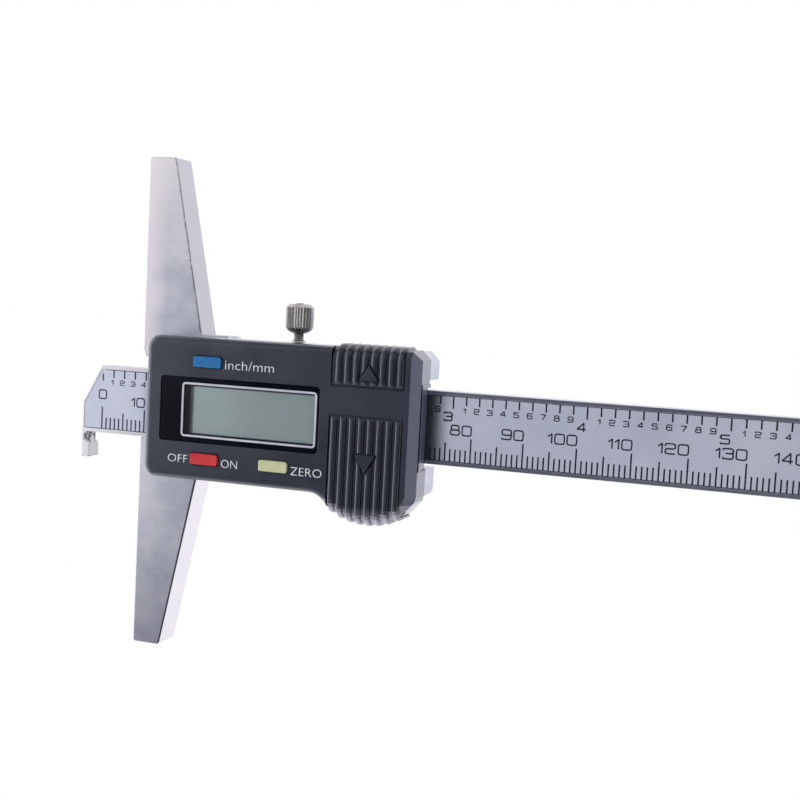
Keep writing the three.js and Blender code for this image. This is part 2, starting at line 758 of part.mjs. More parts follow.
function makeFrontCover() {
  const body = edgedSlab(coverOutline(), gripFloorBack - overrun, coverTop, coverEdgeRound, edgeSteps);
  const ends = edgedSlab(coverEndOutline(), gripFloorBack - overrun, coverTop, coverEndBevel, 1);
  const farY = gripDepth + overrun;
  const front = prism("z", rounded([
    [coverStart - overrun, -farY],
    [coverEnd, -farY],
    [coverEnd, coverUpper - frameCornerCut],
    [coverEnd - frameCornerCut, coverUpper],
    [coverStart - overrun, coverUpper],
  ]), gripFloorBack, coverTop);
  const shell = body.intersect(ends).intersect(front);
  const underFrame = block(
    coverStart - overrun,
    coverEnd + overrun,
    -frameLower - wallFit,
    coverUpper + overrun,
    gripFloorBack - overrun,
    frontLevel,
  );
  const hollow = block(
    coverStart + coverWall,
    coverEnd - coverWall,
    coverWall - coverLower,
    coverUpper - coverWall,
    frontLevel - overrun,
    ceilingLevel,
  );
  const pocketRadius = batteryRadius + freeFit;
  const pocket = prism("z", circle(...batteryPlace, pocketRadius), frontLevel + slideFit, coverTop + overrun);
  const doorLow = doorStart - slideFit;
  const doorHigh = doorEnd + slideFit;
  const doorBay = block(
    doorLow,
    doorHigh,
    -gripDepth - overrun,
    batteryDoorUpper + slideFit,
    doorBack - wallFit,
    coverTop + overrun,
  );
  const wallOutline = [
    ...gripArcPoints(doorLow, doorHigh, doorWall + ribHeight + wallFit),
    [doorHigh, -gripDepth - overrun],
    [doorLow, -gripDepth - overrun],
  ];
  const doorWallBay = prism("z", rounded(wallOutline), gripFloorBack - overrun, coverTop + overrun);
  const portBay = block(
    doorLow,
    doorHigh,
    portDoorLower - slideFit,
    coverUpper + overrun,
    doorBack - wallFit,
    coverTop + overrun,
  );
  const skirtLevel = coverTop - portDoorSkirt - wallFit;
  const portSkirtBay = block(
    doorLow,
    doorHigh,
    coverUpper - coverWall - overrun,
    coverUpper + overrun,
    skirtLevel,
    coverTop + overrun,
  );

  const bosses = screwSeats.map(({ x, y }) => prism("z", circle(x, y, bossRadius), frontLevel, ceilingLevel));
  const bossHoles = screwSeats.map(({ x, y, back }) => {
    const highZ = back + screwSink + screwLength + slideFit;
    return prism("z", circle(x, y, screwShankRadius + slideFit), frontLevel - overrun, highZ);
  });
  const postPlaces = [
    [bezelStart + postRadius, displayCentre + bezelHeight / 2],
    [bezelStart + postRadius, displayCentre - bezelHeight / 2],
    [socketPlace[0], (batteryDoorUpper + portDoorLower) / 2],
    [lockPlace, boardUpper - postRadius],
  ];
  const posts = postPlaces.map(([x, y]) => prism("z", circle(x, y, postRadius), boardTop, ceilingLevel));

  const halfBezel = bezelHeight / 2 + slideFit;
  const bezelPocket = prism("z", rectangle(
    bezelStart - slideFit,
    bezelStart + bezelLength + slideFit,
    displayCentre - halfBezel,
    displayCentre + halfBezel,
    bezelRadius,
  ), bezelBack, coverTop + overrun);
  const viewLow = trimStart + trimWidth + windowLeftLedge;
  const viewHigh = trimStart + trimLength - trimWidth - windowLedge;
  const viewHalf = trimHeight / 2 - trimWidth - windowLedge;
  const view = block(
    viewLow,
    viewHigh,
    displayCentre - viewHalf,
    displayCentre + viewHalf,
    panelTop - overrun,
    coverTop + overrun,
  );
  const rimHalf = viewHalf + windowRimWidth;
  const rim = block(
    viewLow - windowRimWidth,
    viewHigh + windowRimWidth,
    displayCentre - rimHalf,
    displayCentre + rimHalf,
    panelTop,
    bezelBack,
  );

  const buttonHoles = Object.values(buttonPlaces).map(([x, y]) => {
    const halfLength = buttonLength / 2 + wallFit;
    const halfWidth = buttonWidth / 2 + wallFit;
    const outline = rectangle(x - halfLength, x + halfLength, y - halfWidth, y + halfWidth, buttonRadius);
    return prism("z", outline, ceilingLevel - overrun, coverTop + overrun);
  });

  const beamNotch = block(
    coverStart - overrun,
    coverEnd + overrun,
    -channelLower - wallFit,
    channelUpper,
    frontLevel - overrun,
    frontLevel + coverBeamGap,
  );
  const slotTop = coverTop - coverEndBevel;
  const ridgeTop = slotTop - endSlotGroove;
  const ridgeFoot = ridgeTop - endSlotRidge;
  const endSlot = prism("y", [
    new THREE.Vector2(frontLevel - overrun, coverEnd + overrun),
    new THREE.Vector2(frontLevel - overrun, coverEnd - endSlotFootDrop),
    new THREE.Vector2(ridgeFoot, coverEnd - endSlotFootDrop),
    new THREE.Vector2(ridgeFoot, coverEnd - endSlotRidgeDrop),
    new THREE.Vector2(ridgeTop, coverEnd - endSlotRidgeDrop),
    new THREE.Vector2(ridgeTop, coverEnd - endSlotDepth),
    new THREE.Vector2(slotTop, coverEnd - endSlotDepth),
    new THREE.Vector2(slotTop, coverEnd + overrun),
  ], -endSlotLower, endSlotUpper);

  const lip = block(
    coverEnd - endSlotDepth,
    coverEnd + endSlotLipRise,
    endSlotUpper,
    endSlotUpper + endSlotLipWidth,
    frontLevel + coverBeamGap,
    slotTop,
  );

  const hollowed = cut(shell, underFrame, hollow, pocket);
  const filled = join(hollowed, rim, ...bosses, ...posts);
  const opened = cut(
    filled,
    doorBay,
    doorWallBay,
    portBay,
    portSkirtBay,
    ...hookChannels(-gripDepth - overrun, batteryDoorUpper),
    ...hookChannels(portDoorLower, coverUpper + overrun),
    ...bossHoles,
    bezelPocket,
    view,
    ...buttonHoles,
    beamNotch,
    endSlot,
  );
  piece("front_cover", join(opened, lip), coverPlastic);
}

function makeDisplay() {
  const halfBezel = bezelHeight / 2;
  const trimEnd = trimStart + trimLength;
  const halfTrim = trimHeight / 2;
  const innerHalf = halfTrim - trimWidth;
  const opening = rectangle(
    trimStart + trimWidth,
    trimEnd - trimWidth,
    displayCentre - innerHalf,
    displayCentre + innerHalf,
    trimRadius - trimWidth,
  );
  const openingCut = prism("z", opening, bezelBack - overrun, coverTop + overrun);
  const bezel = prism("z", rectangle(
    bezelStart,
    bezelStart + bezelLength,
    displayCentre - halfBezel,
    displayCentre + halfBezel,
    bezelRadius,
  ), bezelBack, bezelTop);
  piece("display_bezel", cut(bezel, openingCut), bezelPlastic);
  const trim = prism("z", rectangle(
    trimStart,
    trimEnd,
    displayCentre - halfTrim,
    displayCentre + halfTrim,
    trimRadius,
  ), bezelTop, bezelTop + trimThickness);
  piece("display_trim", cut(trim, openingCut), trimSilver);
  const pane = rectangle(
    trimStart + trimWidth + slideFit,
    trimEnd - trimWidth - slideFit,
    displayCentre - innerHalf + slideFit,
    displayCentre + innerHalf - slideFit,
    trimRadius - trimWidth,
  );
  piece("display_window", prism("z", pane, bezelBack, bezelBack + windowThickness), clearPlastic);

  const panelLow = trimStart + trimWidth - panelMargin;
  const panelHigh = trimEnd - trimWidth + panelMargin - slideFit;
  const panelHalf = innerHalf + panelMargin;
  const panel = block(
    panelLow,
    panelHigh,
    displayCentre - panelHalf,
    displayCentre + panelHalf,
    panelBack,
    panelTop,
  );
  piece("lcd_panel", panel, panelGlass);
  const stripLow = panelLow + connectorEndGap;
  const stripHigh = panelHigh - connectorEndGap;
  const stripEdge = panelHalf - connectorInset;
  const upper = displayCentre + stripEdge;
  const lower = displayCentre - stripEdge;
  const strips = { upper: [upper - connectorWidth, upper], lower: [lower, lower + connectorWidth] };
  Object.entries(strips).forEach(([name, [low, high]]) => {
    piece(`lcd_connector_${name}`, block(stripLow, stripHigh, low, high, boardTop, panelBack), rubberGrey);
  });
}

function makeBoard() {
  const lowX = coverStart + coverWall + boardWallGap;
  const outline = rounded([
    [lowX, -boardLower],
    [boardSplit, -boardLower],
    [boardSplit, boardArmLower],
    [boardEnd, boardArmLower],
    [boardEnd, boardUpper],
    [lowX, boardUpper],
  ]);
  const board = prism("z", outline, boardBack, boardTop);
  const notches = screwSeats.map(({ x, y }) => {
    const outer = Math.sign(y) * (boardUpper + overrun);
    const reach = bossRadius + slideFit;
    const mouth = rectangle(x - reach, x + reach, Math.min(y, outer), Math.max(y, outer));
    const [lowZ, highZ] = [boardBack - overrun, boardTop + overrun];
    return join(prism("z", mouth, lowZ, highZ), prism("z", circle(x, y, reach), lowZ, highZ));
  });
  piece("circuit_board", cut(board, ...notches), boardResin);

  const chipMiddle = trimStart + trimLength / 2;
  const halfChip = chipSize / 2;
  piece("measuring_chip", block(
    chipMiddle - halfChip,
    chipMiddle + halfChip,
    displayCentre - halfChip,
    displayCentre + halfChip,
    boardTop,
    boardTop + chipHeight,
  ), chipResin);

  const [socketX, socketY] = socketPlace;
  const socketTop = boardTop + socketHeight;
  const socket = block(
    socketX - socketLength / 2,
    socketX + socketLength / 2,
    socketY - socketWidth / 2,
    socketY + socketWidth / 2,
    boardTop,
    socketTop,
  );
  const pinPitch = socketLength / (socketPins + 1);
  const slots = Array.from({ length: socketPins }, (_, index) => {
    const middle = socketX - socketLength / 2 + pinPitch * (index + 1);
    const half = socketPinWidth / 2;
    const slot = rectangle(middle - half, middle + half, socketY, socketY + overrun);
    return prism("z", slot, socketTop - socketPinDepth, socketTop + overrun);
  });
  piece("data_socket", cut(socket, ...slots), chipResin);
}

// Push buttons: a flanged cap under the cover's ceiling, and a snap dome on the board.
function makeButtons() {
  const finishes = { unit: unitBlue, power: powerRed, zero: zeroYellow };
  const flangeTop = ceilingLevel - slideFit;
  const flangeBack = flangeTop - buttonFlangeThickness;
  const stemFoot = boardTop + domeHeight + freeFit;
  const capTop = coverTop + buttonRise;
  Object.entries(buttonPlaces).forEach(([name, [x, y]]) => {
    const halfLength = buttonLength / 2;
    const halfWidth = buttonWidth / 2;
    const plan = rectangle(-halfLength, halfLength, -halfWidth, halfWidth, buttonRadius);
    const cap = prism("z", plan, flangeBack, capTop);
    const crownAcross = prism("x", rounded([
      [-halfWidth, flangeBack],
      [halfWidth, flangeBack],
      [halfWidth, capTop, buttonCrown],
      [-halfWidth, capTop, buttonCrown],
    ]), -halfLength, halfLength);
    const crownAlong = prism("y", rounded([
      [flangeBack, -halfLength],
      [capTop, -halfLength, buttonCrown],
      [capTop, halfLength, buttonCrown],
      [flangeBack, halfLength],
    ]), -halfWidth, halfWidth);
    const wide = buttonFlange;
    const flange = block(
      -halfLength - wide,
      halfLength + wide,
      -halfWidth - wide,
      halfWidth + wide,
      flangeBack,
      flangeTop,
    );
    const halfStem = buttonStem / 2;
    const stem = block(-halfStem, halfStem, -halfStem, halfStem, stemFoot, flangeTop);
    const body = join(cap.intersect(crownAcross).intersect(crownAlong), flange, stem);
    const button = piece(`${name}_button`, body, finishes[name]);
    button.position.set(x, y, 0);
    const crown = domeCrownShares.map(([out, up]) => [out * domeRadius, up * domeHeight]);
    const profile = [[0, 0], ...crown, [0, domeHeight]];
    const dome = piece(`${name}_button_dome`, turned("z", profile, [0, 0, 0]), contactNickel);
    dome.position.set(x, y, boardTop);
  });
}

function makeBattery() {
  const [x, y] = batteryPlace;
  const stripBack = frontLevel + slideFit;
  const stripTop = stripBack + contactThickness;
  const cell = turned("z", [
    [0, 0],
    [batteryRimRadius, 0],
    [batteryRimRadius, batteryStep],
    [batteryRadius, batteryStep],
    [batteryRadius, batteryThickness],
    [0, batteryThickness],
  ], [0, 0, 0], roundSides * 2);
  const battery = piece("battery", cell, contactNickel);
  battery.position.set(x, y, stripTop);

  const lowY = contactMiddle - contactWidth / 2;
  const highY = contactMiddle + contactWidth / 2;
  const armX = x - Math.sqrt(batteryRadius ** 2 - (lowY - y) ** 2) - slideFit;
  const sideTop = boardTop + contactThickness;
  const sideFoot = block(armX - contactReach, armX, lowY, highY, boardTop, sideTop);
  const sideArm = block(armX - contactThickness, armX, lowY, highY, boardTop, boardTop + contactHeight);
  piece("battery_side_contact", join(sideFoot, sideArm), contactNickel);
  const tabX = boardSplit + slideFit;
  const strip = block(tabX, x + batteryRimRadius, lowY, highY, stripBack, stripTop);
  const tab = block(tabX, tabX + contactThickness, lowY, highY, stripBack, boardTop);
  piece("battery_base_contact", join(strip, tab), contactNickel);
}

// Full round sections of a rib, swept in the plane at x over stations [y, z, lean, share of its height].
function sweptRib(x, side, stations) {
  const half = ribWidth / 2;
  const section = [[-half, -ribRoot], [half, -ribRoot]];
  for (let step = 0; step <= ribSteps; step += 1) {
    const angle = (Math.PI * step) / ribSteps;
    const across = half * Math.sign(Math.cos(angle)) * Math.abs(Math.cos(angle)) ** ribFullnessShare;
    section.push([across, ribHeight * Math.abs(Math.sin(angle)) ** ribFullnessShare]);
  }
  const ordered = side > 0 ? stations.toReversed() : stations;
  const points = ordered.flatMap(([y, z, lean, share]) => section.map(([across, out]) => {
    const lift = out > 0 ? out * share : out;
    return new THREE.Vector3(x + across, y + side * lift * Math.sin(lean), z + lift * Math.cos(lean));
  }));
  const count = section.length;
  const last = points.length - count;
  const faces = [];
  for (let at = 1; at < count - 1; at += 1) {
    faces.push(0, at + 1, at);
    faces.push(last, last + at, last + at + 1);
  }
  for (let ring = 0; ring < last; ring += count) {
    for (let at = 0; at < count; at += 1) {
      const next = (at + 1) % count;
      faces.push(ring + at, ring + next, ring + count + at);
      faces.push(ring + next, ring + count + next, ring + count + at);
    }
  }
  const geometry = new THREE.BufferGeometry().setFromPoints(points);
  geometry.setIndex(faces);
  return solid(geometry);
}

// Ribs over a sliding cover's plate, its rounded edge and its end wall, which lies at side * Y.
function sweptRibs(side, innerY, wallAt, footZ, { inset, pitch }) {
  const ribs = Array.from({ length: ribCount }, (_, index) => {
    const x = doorStart + inset + index * pitch;
    const bendY = wallAt(x) - side * doorEdgeRound;
    const bendZ = doorTop - doorEdgeRound;
    const stations = [[innerY, doorTop, 0, ribEndShare], [innerY + side * ribHeight, doorTop, 0, 1]];
    for (let step = 0; step <= edgeSteps; step += 1) {
      const lean = (Math.PI * step) / (2 * edgeSteps);
      const [y, z] = [bendY + side * doorEdgeRound * Math.sin(lean), bendZ + doorEdgeRound * Math.cos(lean)];
      stations.push([y, z, lean, 1]);
    }
    stations.push([wallAt(x), footZ, Math.PI / 2, 1]);
    return sweptRib(x, side, stations);
  });
  return join(...ribs);
}

// A triangle that points along Y, its tip at +Y or -Y, grown by a margin on all sides.
function arrowMark({ width, baseY, tipY }, highZ, margin) {
  const side = Math.sign(tipY - baseY);
  const half = width / 2;
  const height = Math.abs(tipY - baseY);
  const edge = Math.hypot(half, height);
  const wide = half + (margin * (edge + half)) / height;
  const foot = baseY - side * margin;
  const tip = tipY + (side * margin * edge) / half;
  const outline = rounded([[markPlace - wide, foot], [markPlace + wide, foot], [markPlace, tip]]);
  return prism("z", outline, doorBack + doorPlate / 2, highZ);
}

// The hooks that hold a sliding cover in its channels.
function doorHooks(lowY, highY) {
  const foot = ceilingLevel - doorHookDepth;
  const tongueTop = foot + doorHookThickness;
  const top = doorBack + doorPlate / 2;
  return [
    block(doorStart, doorStart + doorHookWeb, lowY, highY, foot, top),
    block(doorStart - doorHookReach, doorStart + doorHookWeb, lowY, highY, foot, tongueTop),
    block(doorEnd - doorHookWeb, doorEnd, lowY, highY, foot, top),
    block(doorEnd - doorHookWeb, doorEnd + doorHookReach, lowY, highY, foot, tongueTop),
  ];
}

// A sliding cover: plate and end wall under one rounded edge, ribs over both, hooks under the plate.
function slidingCover({ side, outline, innerY, wallAt, footZ, hollow, hooks, ribs, mark }) {
  const farY = side * (gripDepth + overrun);
  const [lowY, highY] = [Math.min(innerY, farY), Math.max(innerY, farY)];
  const bounds = block(doorStart, doorEnd, lowY, highY, footZ, coverTop + overrun);
  const plate = edgedSlab(outline, footZ - overrun, doorTop, doorEdgeRound, edgeSteps);
  const raised = sweptRibs(side, innerY + side * ribEndGap, wallAt, footZ, ribs);
  const clearing = arrowMark(mark, coverTop + overrun, markMargin);
  const arrow = arrowMark(mark, coverTop + ribHeight / 2 + markRise, 0);
  return join(cut(join(plate, cut(raised, clearing)).intersect(bounds), hollow), ...hooks, arrow);
}

function makeSlidingCovers() {
  const wide = doorEdgeRound + freeFit;
  const lowX = doorStart - wide;
  const highX = doorEnd + wide;
  const wallInset = ribHeight + doorWall;
  const batteryPlan = (inset) => rounded([
    ...gripArcPoints(lowX, highX, inset),
    [highX, batteryDoorUpper + wide],
    [lowX, batteryDoorUpper + wide],
  ]);
  const batteryCover = slidingCover({
    side: -1,
    outline: batteryPlan(ribHeight),
    innerY: batteryDoorUpper,
    wallAt: (x) => gripArc(x, ribHeight),
    footZ: gripFloorBack,
    hollow: prism("z", batteryPlan(wallInset), gripFloorBack - overrun, doorBack),
    hooks: doorHooks(gripArc(doorStart, wallInset), batteryDoorUpper - ribEndGap),
    ribs: { inset: batteryRibInset, pitch: batteryRibPitch },
    mark: { width: batteryMarkWidth, baseY: batteryMarkBase, tipY: batteryMarkBase - batteryMarkHeight },
  });
  piece("battery_cover", batteryCover, coverPlastic);

  const portFoot = coverTop - portDoorSkirt;
  const hollowTop = portDoorUpper - doorWall;
  const portCover = slidingCover({
    side: 1,
    outline: rectangle(lowX, highX, portDoorLower - wide, portDoorUpper),
    innerY: portDoorLower,
    wallAt: () => portDoorUpper,
    footZ: portFoot,
    hollow: block(lowX, highX, portDoorLower - wide, hollowTop, portFoot - overrun, doorBack),
    hooks: doorHooks(portDoorLower + ribEndGap, hollowTop),
    ribs: { inset: portRibInset, pitch: portRibPitch },
    mark: { width: portMarkWidth, baseY: portMarkTip - portMarkHeight, tipY: portMarkTip },
  });
  piece("port_cover", portCover, coverPlastic);
}

makeBaseFrame();
makeGib();
makeLockScrew();
makeBackPlate();
makeHousingScrews();
makeBeam();
makeFrontCover();
makeDisplay();
makeBoard();
makeButtons();
makeBattery();
makeSlidingCovers();

// The whole gauge stands with the middle of its length and of its base at the origin.
gauge.position.x = -(beamTip + beamEnd) / 2;

export default gauge;
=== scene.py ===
# Depth gauge: looks, printed marks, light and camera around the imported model.
import json

import bmesh
import bpy
from mathutils import Matrix, Vector


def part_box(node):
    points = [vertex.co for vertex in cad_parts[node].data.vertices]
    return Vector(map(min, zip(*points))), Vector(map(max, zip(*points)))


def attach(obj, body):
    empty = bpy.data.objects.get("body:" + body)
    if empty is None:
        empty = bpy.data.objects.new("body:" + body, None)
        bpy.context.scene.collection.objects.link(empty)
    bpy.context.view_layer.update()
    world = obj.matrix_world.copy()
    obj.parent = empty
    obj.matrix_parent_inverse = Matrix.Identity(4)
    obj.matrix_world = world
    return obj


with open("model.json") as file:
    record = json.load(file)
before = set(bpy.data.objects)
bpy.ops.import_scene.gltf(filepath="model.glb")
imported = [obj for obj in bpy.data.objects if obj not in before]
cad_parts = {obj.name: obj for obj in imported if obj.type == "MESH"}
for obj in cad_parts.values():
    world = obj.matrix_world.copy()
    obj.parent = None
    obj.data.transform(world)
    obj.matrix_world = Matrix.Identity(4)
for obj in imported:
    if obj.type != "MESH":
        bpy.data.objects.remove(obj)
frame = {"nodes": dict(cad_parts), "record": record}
bpy.context.view_layer.update()
nodes = frame["nodes"]
print("frame loaded:", len(nodes), "nodes")

mm = 0.001
zeroFromTip = 4.63 * mm  # from the beam's tip to the zero line of the millimetre scale
slack = {"hook": 0.02, "door": 0.05}  # millimetres by which a mask's border clears the faces it stops at
beamLow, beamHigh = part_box("beam")
baseLow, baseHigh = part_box("base_frame")
labelLow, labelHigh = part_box("scale_label")
doorLow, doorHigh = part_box("battery_cover")
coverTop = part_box("front_cover")[1].z
scaleZero = beamLow.x + zeroFromTip


def linear(red, green, blue):  # a screen colour, 0 to 255, as the shader wants it
    def one(value):
        value /= 255
        return value / 12.92 if value <= 0.04045 else ((value + 0.055) / 1.055) ** 2.4
    return (one(red), one(green), one(blue), 1)


# Camera
camera = {
    "place": (0.03849, 0.02348, 0.22938),
    "towards": (-0.3257, -0.0792, -0.9422),
    "upwards": (-0.075, 0.9955, -0.0577),
    "lens": 55.82,
    "film": 36.0,
    "clip": (0.01, 20),
}


def placeCamera():
    data = bpy.data.cameras.new("viewCamera")
    data.lens = camera["lens"]
    data.sensor_width = camera["film"]
    data.clip_start, data.clip_end = camera["clip"]
    viewCamera = bpy.data.objects.new("viewCamera", data)
    bpy.context.scene.collection.objects.link(viewCamera)
    towards = Vector(camera["towards"]).normalized()
    right = towards.cross(Vector(camera["upwards"])).normalized()
    upwards = right.cross(towards)
    turn = Matrix((right, upwards, -towards)).transposed()
    viewCamera.matrix_world = Matrix.Translation(camera["place"]) @ turn.to_4x4()
    bpy.context.scene.camera = viewCamera


placeCamera()
print("camera placed")


# Building blocks of the materials
def feed(tree, value, socket):  # an output is linked to the socket, anything else is its fixed value
    if isinstance(value, bpy.types.NodeSocket):
        tree.links.new(value, socket)
    else:
        socket.default_value = value


def addNode(tree, kind, values=None, **settings):
    node = tree.nodes.new(kind)
    for key, value in settings.items():
        setattr(node, key, value)
    for key, value in (values or {}).items():
        feed(tree, value, node.inputs[key])
    return node


def calc(tree, operation, *values):
    return addNode(tree, "ShaderNodeMath", dict(enumerate(values)), operation=operation).outputs[0]


def remap(tree, value, span, target=(0, 1)):
    node = addNode(tree, "ShaderNodeMapRange", {
        "Value": value, "From Min": span[0], "From Max": span[1], "To Min": target[0], "To Max": target[1],
    })
    return node.outputs["Result"]


def noise(tree, vector, scale, detail, rough):
    node = addNode(tree, "ShaderNodeTexNoise", {
        "Vector": vector, "Scale": scale, "Detail": detail, "Roughness": rough,
    })
    return node.outputs["Fac"]


def mixColour(tree, amount, first, second):
    node = addNode(tree, "ShaderNodeMix", {0: amount, 6: first, 7: second}, data_type="RGBA")
    return node.outputs[2]


def tint(tree, base, mask, tone, colour):  # the base goes over to the colour by mask times tone
    return mixColour(tree, calc(tree, "MULTIPLY", mask, tone), base, colour)


def inMillimetres(tree):  # the shaded point, in the frame's millimetres
    place = addNode(tree, "ShaderNodeTexCoord")
    values = {0: place.outputs["Object"], 1: (1 / mm,) * 3}
    return addNode(tree, "ShaderNodeVectorMath", values, operation="MULTIPLY").outputs[0]


# Shared shader groups
grind = {
    "lineScale": 1.0, "lineDetail": 8.0, "lineRough": 0.7, "lineSpan": (0.3, 0.7),
    "scratchScale": 2.3, "scratchDetail": 2.0, "scratchRough": 0.5, "scratchSpan": (0.66, 0.72),
    "patchDetail": 3.0, "patchRough": 0.6, "patchSpan": (0.35, 0.65),
}
grain = {"grainDetail": 3.0, "toneDetail": 2.0, "rough": 0.6, "span": (0.3, 0.7)}
softEdge = {"samples": 6, "span": (0.99, 0.8)}
hollowSamples = 8


def newGroup(name, inputs, outputs):
    group = bpy.data.node_groups.new(name, "ShaderNodeTree")
    for label, value in inputs.items():
        kind = "NodeSocketVector" if isinstance(value, tuple) else "NodeSocketFloat"
        group.interface.new_socket(label, in_out="INPUT", socket_type=kind).default_value = value
    for label, kind in outputs.items():
        group.interface.new_socket(label, in_out="OUTPUT", socket_type="NodeSocket" + kind)
    return group, group.nodes.new("NodeGroupInput").outputs, group.nodes.new("NodeGroupOutput").inputs


def makeGrindGroup():  # long fine grinding lines, sparse scratches and broad handling patches
    group, given, made = newGroup(
        "grindLines",
        {"Stretch": (0.05, 6.0, 6.0), "Patch Size": 0.08},
        {"Lines": "Float", "Scratches": "Float", "Patches": "Float"},
    )
    point = inMillimetres(group)
    values = {0: point, 1: given["Stretch"]}
    stretched = addNode(group, "ShaderNodeVectorMath", values, operation="MULTIPLY").outputs[0]
    lines = noise(group, stretched, grind["lineScale"], grind["lineDetail"], grind["lineRough"])
    scratches = noise(group, stretched, grind["scratchScale"], grind["scratchDetail"], grind["scratchRough"])
    patches = noise(group, point, given["Patch Size"], grind["patchDetail"], grind["patchRough"])
    feed(group, remap(group, lines, grind["lineSpan"]), made["Lines"])
    feed(group, remap(group, scratches, grind["scratchSpan"]), made["Scratches"])
    feed(group, remap(group, patches, grind["patchSpan"]), made["Patches"])
    return group


def makeGrainGroup():  # moulded grain and a slow change of tone
    group, given, made = newGroup(
        "mouldGrain",
        {"Grain Scale": 9.0, "Tone Scale": 0.12},
        {"Grain": "Float", "Tone": "Float"},
    )
    point = inMillimetres(group)
    for label, detail in (("Grain", grain["grainDetail"]), ("Tone", grain["toneDetail"])):
        spots = noise(group, point, given[label + " Scale"], detail, grain["rough"])
        feed(group, remap(group, spots, grain["span"]), made[label])
    return group


def makeEdgeGroup():  # softened edges: a rounded normal, and a mask of where the edges are
    group, given, made = newGroup("softEdges", {"Radius": 0.2 * mm}, {"Edge": "Float", "Normal": "Vector"})
    bevel = addNode(group, "ShaderNodeBevel", {"Radius": given["Radius"]}, samples=softEdge["samples"])
    geometry = addNode(group, "ShaderNodeNewGeometry")
    values = {0: bevel.outputs[0], 1: geometry.outputs["Normal"]}
    facing = addNode(group, "ShaderNodeVectorMath", values, operation="DOT_PRODUCT")
    feed(group, remap(group, facing.outputs["Value"], softEdge["span"]), made["Edge"])
    feed(group, bevel.outputs[0], made["Normal"])
    return group


def makeHollowGroup():  # how shut in a point is by what stands within reach, from 0 to 1
    inputs = {"Reach": 1.0 * mm, "Open": 0.9, "Shut": 0.5}
    group, given, made = newGroup("hollows", inputs, {"Hollow": "Float"})
    nearby = addNode(group, "ShaderNodeAmbientOcclusion", {"Distance": given["Reach"]}, samples=hollowSamples)
    feed(group, remap(group, nearby.outputs["AO"], (given["Open"], given["Shut"])), made["Hollow"])
    return group


def makeSpotGroup():  # the point in the frame's millimetres, and which way its face looks
    group, _, made = newGroup("spot", {}, {
        "Point": "Vector", "X": "Float", "Y": "Float", "Z": "Float", "Faces X": "Float", "Faces Y": "Float",
    })
    point = inMillimetres(group)
    place = addNode(group, "ShaderNodeSeparateXYZ", {0: point})
    turned = addNode(group, "ShaderNodeTexCoord").outputs["Normal"]
    facing = addNode(group, "ShaderNodeSeparateXYZ", {0: turned})
    feed(group, point, made["Point"])
    for axis in "XYZ":
        feed(group, place.outputs[axis], made[axis])
    for axis in "XY":
        feed(group, facing.outputs[axis], made["Faces " + axis])
    return group


grindGroup = makeGrindGroup()
grainGroup = makeGrainGroup()
edgeGroup = makeEdgeGroup()
hollowGroup = makeHollowGroup()
spotGroup = makeSpotGroup()


def useGroup(tree, group, values=None):
    return addNode(tree, "ShaderNodeGroup", values, node_tree=group).outputs


def newMaterial(name, settings=None):
    material = bpy.data.materials.new(name)
    material.use_nodes = True
    shader = material.node_tree.nodes["Principled BSDF"]
    for key, value in (settings or {}).items():
        shader.inputs[key].default_value = value
    return material, material.node_tree, shader


def bump(tree, shader, height, depth, normal):
    node = addNode(tree, "ShaderNodeBump", {"Distance": depth, "Height": height, "Normal": normal})
    feed(tree, node.outputs["Normal"], shader.inputs["Normal"])


# Marks, wear and painted light and shade that only one material has. Places are in the frame's millimetres,
# and a pair of values that is said to go by arm has the lower arm's first and the upper arm's second.
baseNicksAndLighting = {
    "ridgeRoot": (-81.7, 14.7), "ridgeEnd": (-88.9, baseHigh.y / mm),  # the arms' upper right edge
    "top": baseHigh.z / mm, "face": baseLow.x / mm, "arms": (-14.0, 14.0),
    "nickScale": 1.1, "nickDetail": 3.0, "nickRough": 0.7, "nickMiddle": 0.5,
    "nickDepth": (0.2, 1.2),  # by arm
    "ridgeWidth": (0.3, 0.18), "ridgeTone": (0.9, 0.54), "ridgeColour": linear(42, 42, 52),  # by arm
    # painted light: a highlight by the measuring face and on the upper arm's top, and painted shade at the
    # lower arm's tip
    "faceReach": 5.0, "faceTone": (0.34, 0.85), "faceColour": linear(255, 247, 250),  # by arm
    "topSpan": (27.0, 50.0), "topTone": 0.7, "topColour": linear(255, 250, 250),
    "tipSpan": (-28.0, -50.0), "tipTone": 0.5, "tipColour": linear(150, 149, 166),
    # painted light and shade on the side faces, by arm
    "sideTurn": 0.5, "sideTone": 0.85, "lowerSide": linear(252, 248, 249), "upperSide": linear(204, 202, 207),
}


